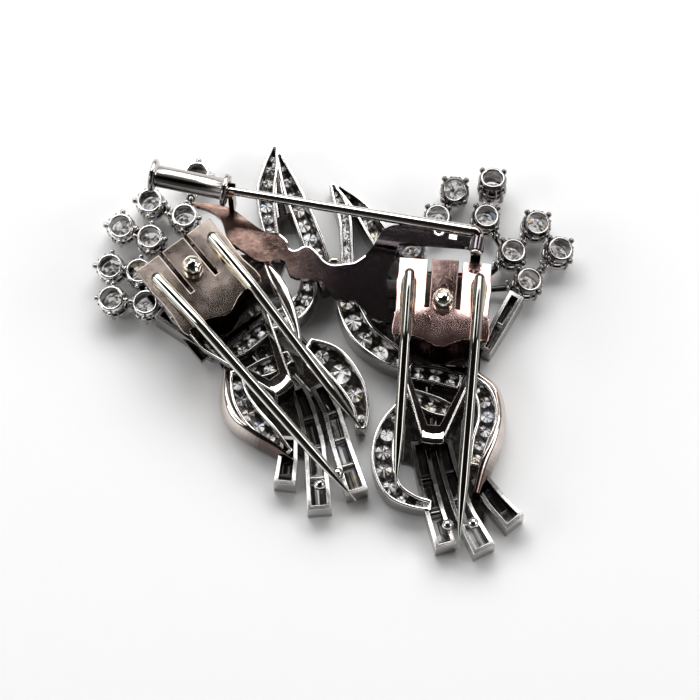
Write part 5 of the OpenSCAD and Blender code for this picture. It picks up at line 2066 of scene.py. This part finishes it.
RIGHT_SPRAY = Spray(
    rounds=[(-3, 17, 0, 0, 2), (-9, 7, 0, -4, 0), (1, 26.5, 14, 0, 1), (11, 27, -14, 0, 5),
            (9.5, 18, 0, 4, 7), (23, 17.5, 4, 6, 7), (17, 8.5, 0, 6, 0), (29, 10, 0, 10, 9),
            (21.5, 0.5, 0, 8, 0)],
    ribbons=[
        [(-32, 24.9, 0.8, 80), (-29.5, 19.5, 1.8, 90), (-27.5, 13.5, 1.8, 95), (-26.5, 5.5, 1.8, 90),
         (-25.5, -2, 1.8, 85)],
        [(-30.6, 24.2, 0.9, 86), (-24.5, 18.5, 2.1, 100), (-19.5, 12, 2.9, 110), (-14.5, 5, 2.8, 100)],
        [(-26, -4, 2.3, 95), (-24.5, -11, 3.2, 105), (-20.5, -18, 3.4, 110), (-13.5, -23, 3.2, 105),
         (-7, -26, 2.4, 100)],
        [(-8.5, -36.5, 1.6, 85), (-12, -44, 2.7, 90), (-12.5, -52.5, 3.1, 95), (-9.5, -60, 2.6, 95),
         (-4, -63, 1.9, 90), (1, -63.5, 1.4, 80)],
        [(8, -28, 1.7, 85), (12.5, -32, 2.5, 90), (14, -38.5, 2.7, 90), (12.5, -45, 2.4, 90),
         (11.5, -52, 1.7, 80)],
        [(-8, -27.5, 2.3, 95), (-0.5, -28, 2.6, 95), (6.5, -29.5, 2.3, 95)],
        [(-7.5, -33, 1.7, 80), (-0.5, -36, 2.7, 85), (5.5, -37.5, 1.8, 80)]],
    bands=[[(10, -27, 10.5, -24.5), (15, -31, 16.5, -29), (16.5, -38, 19, -37), (15, -45, 18.5, -44.5),
            (12.5, -51.5, 16.5, -51.5), (11.5, -59.5, 14.5, -60)]],
    bars=[
        [(19.5, -3.5, 2.1, 95), (15.5, -12, 2.1, 90), (12, -20, 1.6, 80)],
        [(12.5, -54.5, 2.3, 75), (17.5, -61, 2.8, 80), (23, -66.5, 3, 85)],
        [(2.5, -45.5, 2.3, 75), (5, -53.5, 2.4, 75), (9.5, -64.5, 2.7, 75), (15.5, -74.5, 3.1, 85)],
        [(-3.5, -46, 2.3, 75), (-1.5, -54, 2.4, 75), (2, -65, 2.6, 75), (5.5, -74.5, 2.8, 85)]],
    rib_side=1, rib_reach=0.26,
    rib_section=[(0.0, 0.12, 1.0), (0.2, 0.02, 1.0), (0.4, 0.0, 1.0), (0.6, 0.0, 1.0), (0.8, 0.02, 1.0),
                 (1.0, 0.12, 0.05), (1.0, 2.4, 0.05), (0.0, 2.4, 0.05)],
    ties=[(-2, -30.2, -2, -33.8), (0, -38.2, 0, -46.6)],
    stops=[(5.5, -69), (12, -68)],
    grounds=[
        [(-9.5, -27), (8.5, -27), (11.5, -33), (12.5, -39), (11, -46), (10.5, -52), (14.5, -58), (15, -67),
         (9, -68), (5, -66), (0, -61), (-3.5, -52), (-6, -50.5), (-10.5, -49.5), (-11, -44), (-9.5, -36)],
        [(-11, -3), (-15, 2), (-20, -2), (-24, -5), (-20, -15), (-14, -20), (-11, -22)]])


def home(x: float, y: float, turn: float) -> Matrix:
    """Gives a clip's placement from its place in hundredths of the frame and its turn in degrees."""
    spot = Matrix.Translation((x * FRAME_L / 100, y * FRAME_L / 100, 0))
    return spot @ Matrix.Rotation(math.radians(turn), 4, "Z")


LEFT_HOME = home(-55.5, 31, 38.5) @ Matrix.Diagonal((-1, 1, 1, 1))
RIGHT_HOME = home(39, 25.5, -4.5)


def main() -> None:
    """Builds the studio, then the brooch piece by piece."""
    logging.basicConfig(level=logging.INFO, format="%(name)s: %(message)s")
    Studio().build()
    ClipMount("left", LEFT_HOME, LEFT_SPRAY, seed=17).build()
    # The right clip's collets are darkened with painted shade
    ClipMount("right", RIGHT_HOME, RIGHT_SPRAY, seed=29, dark=0.85).build()
    SprungFlap("left", LEFT_HOME, Body.LEFT_CLIP, LEFT_SHEET_PAINTED_REFLECTION, outer_l=39.0, inner_l=32.8, outer_tip=2.3,
               ball_y=4.4, crown=0.02).build()
    # The right flap's tongue and prongs carry painted shade
    SprungFlap("right", RIGHT_HOME, Body.RIGHT_CLIP, RIGHT_SHEET_PAINTED_REFLECTION, outer_l=35.4, inner_l=28.8, outer_tip=4.3,
               ball_y=6.0, crown=0.46, painted_tongue_shade=0.45, painted_prong_shade=0.3).build()
    PinAndCatch().build()
    BroochFrame().build()


if __name__ == "__main__":
    main()
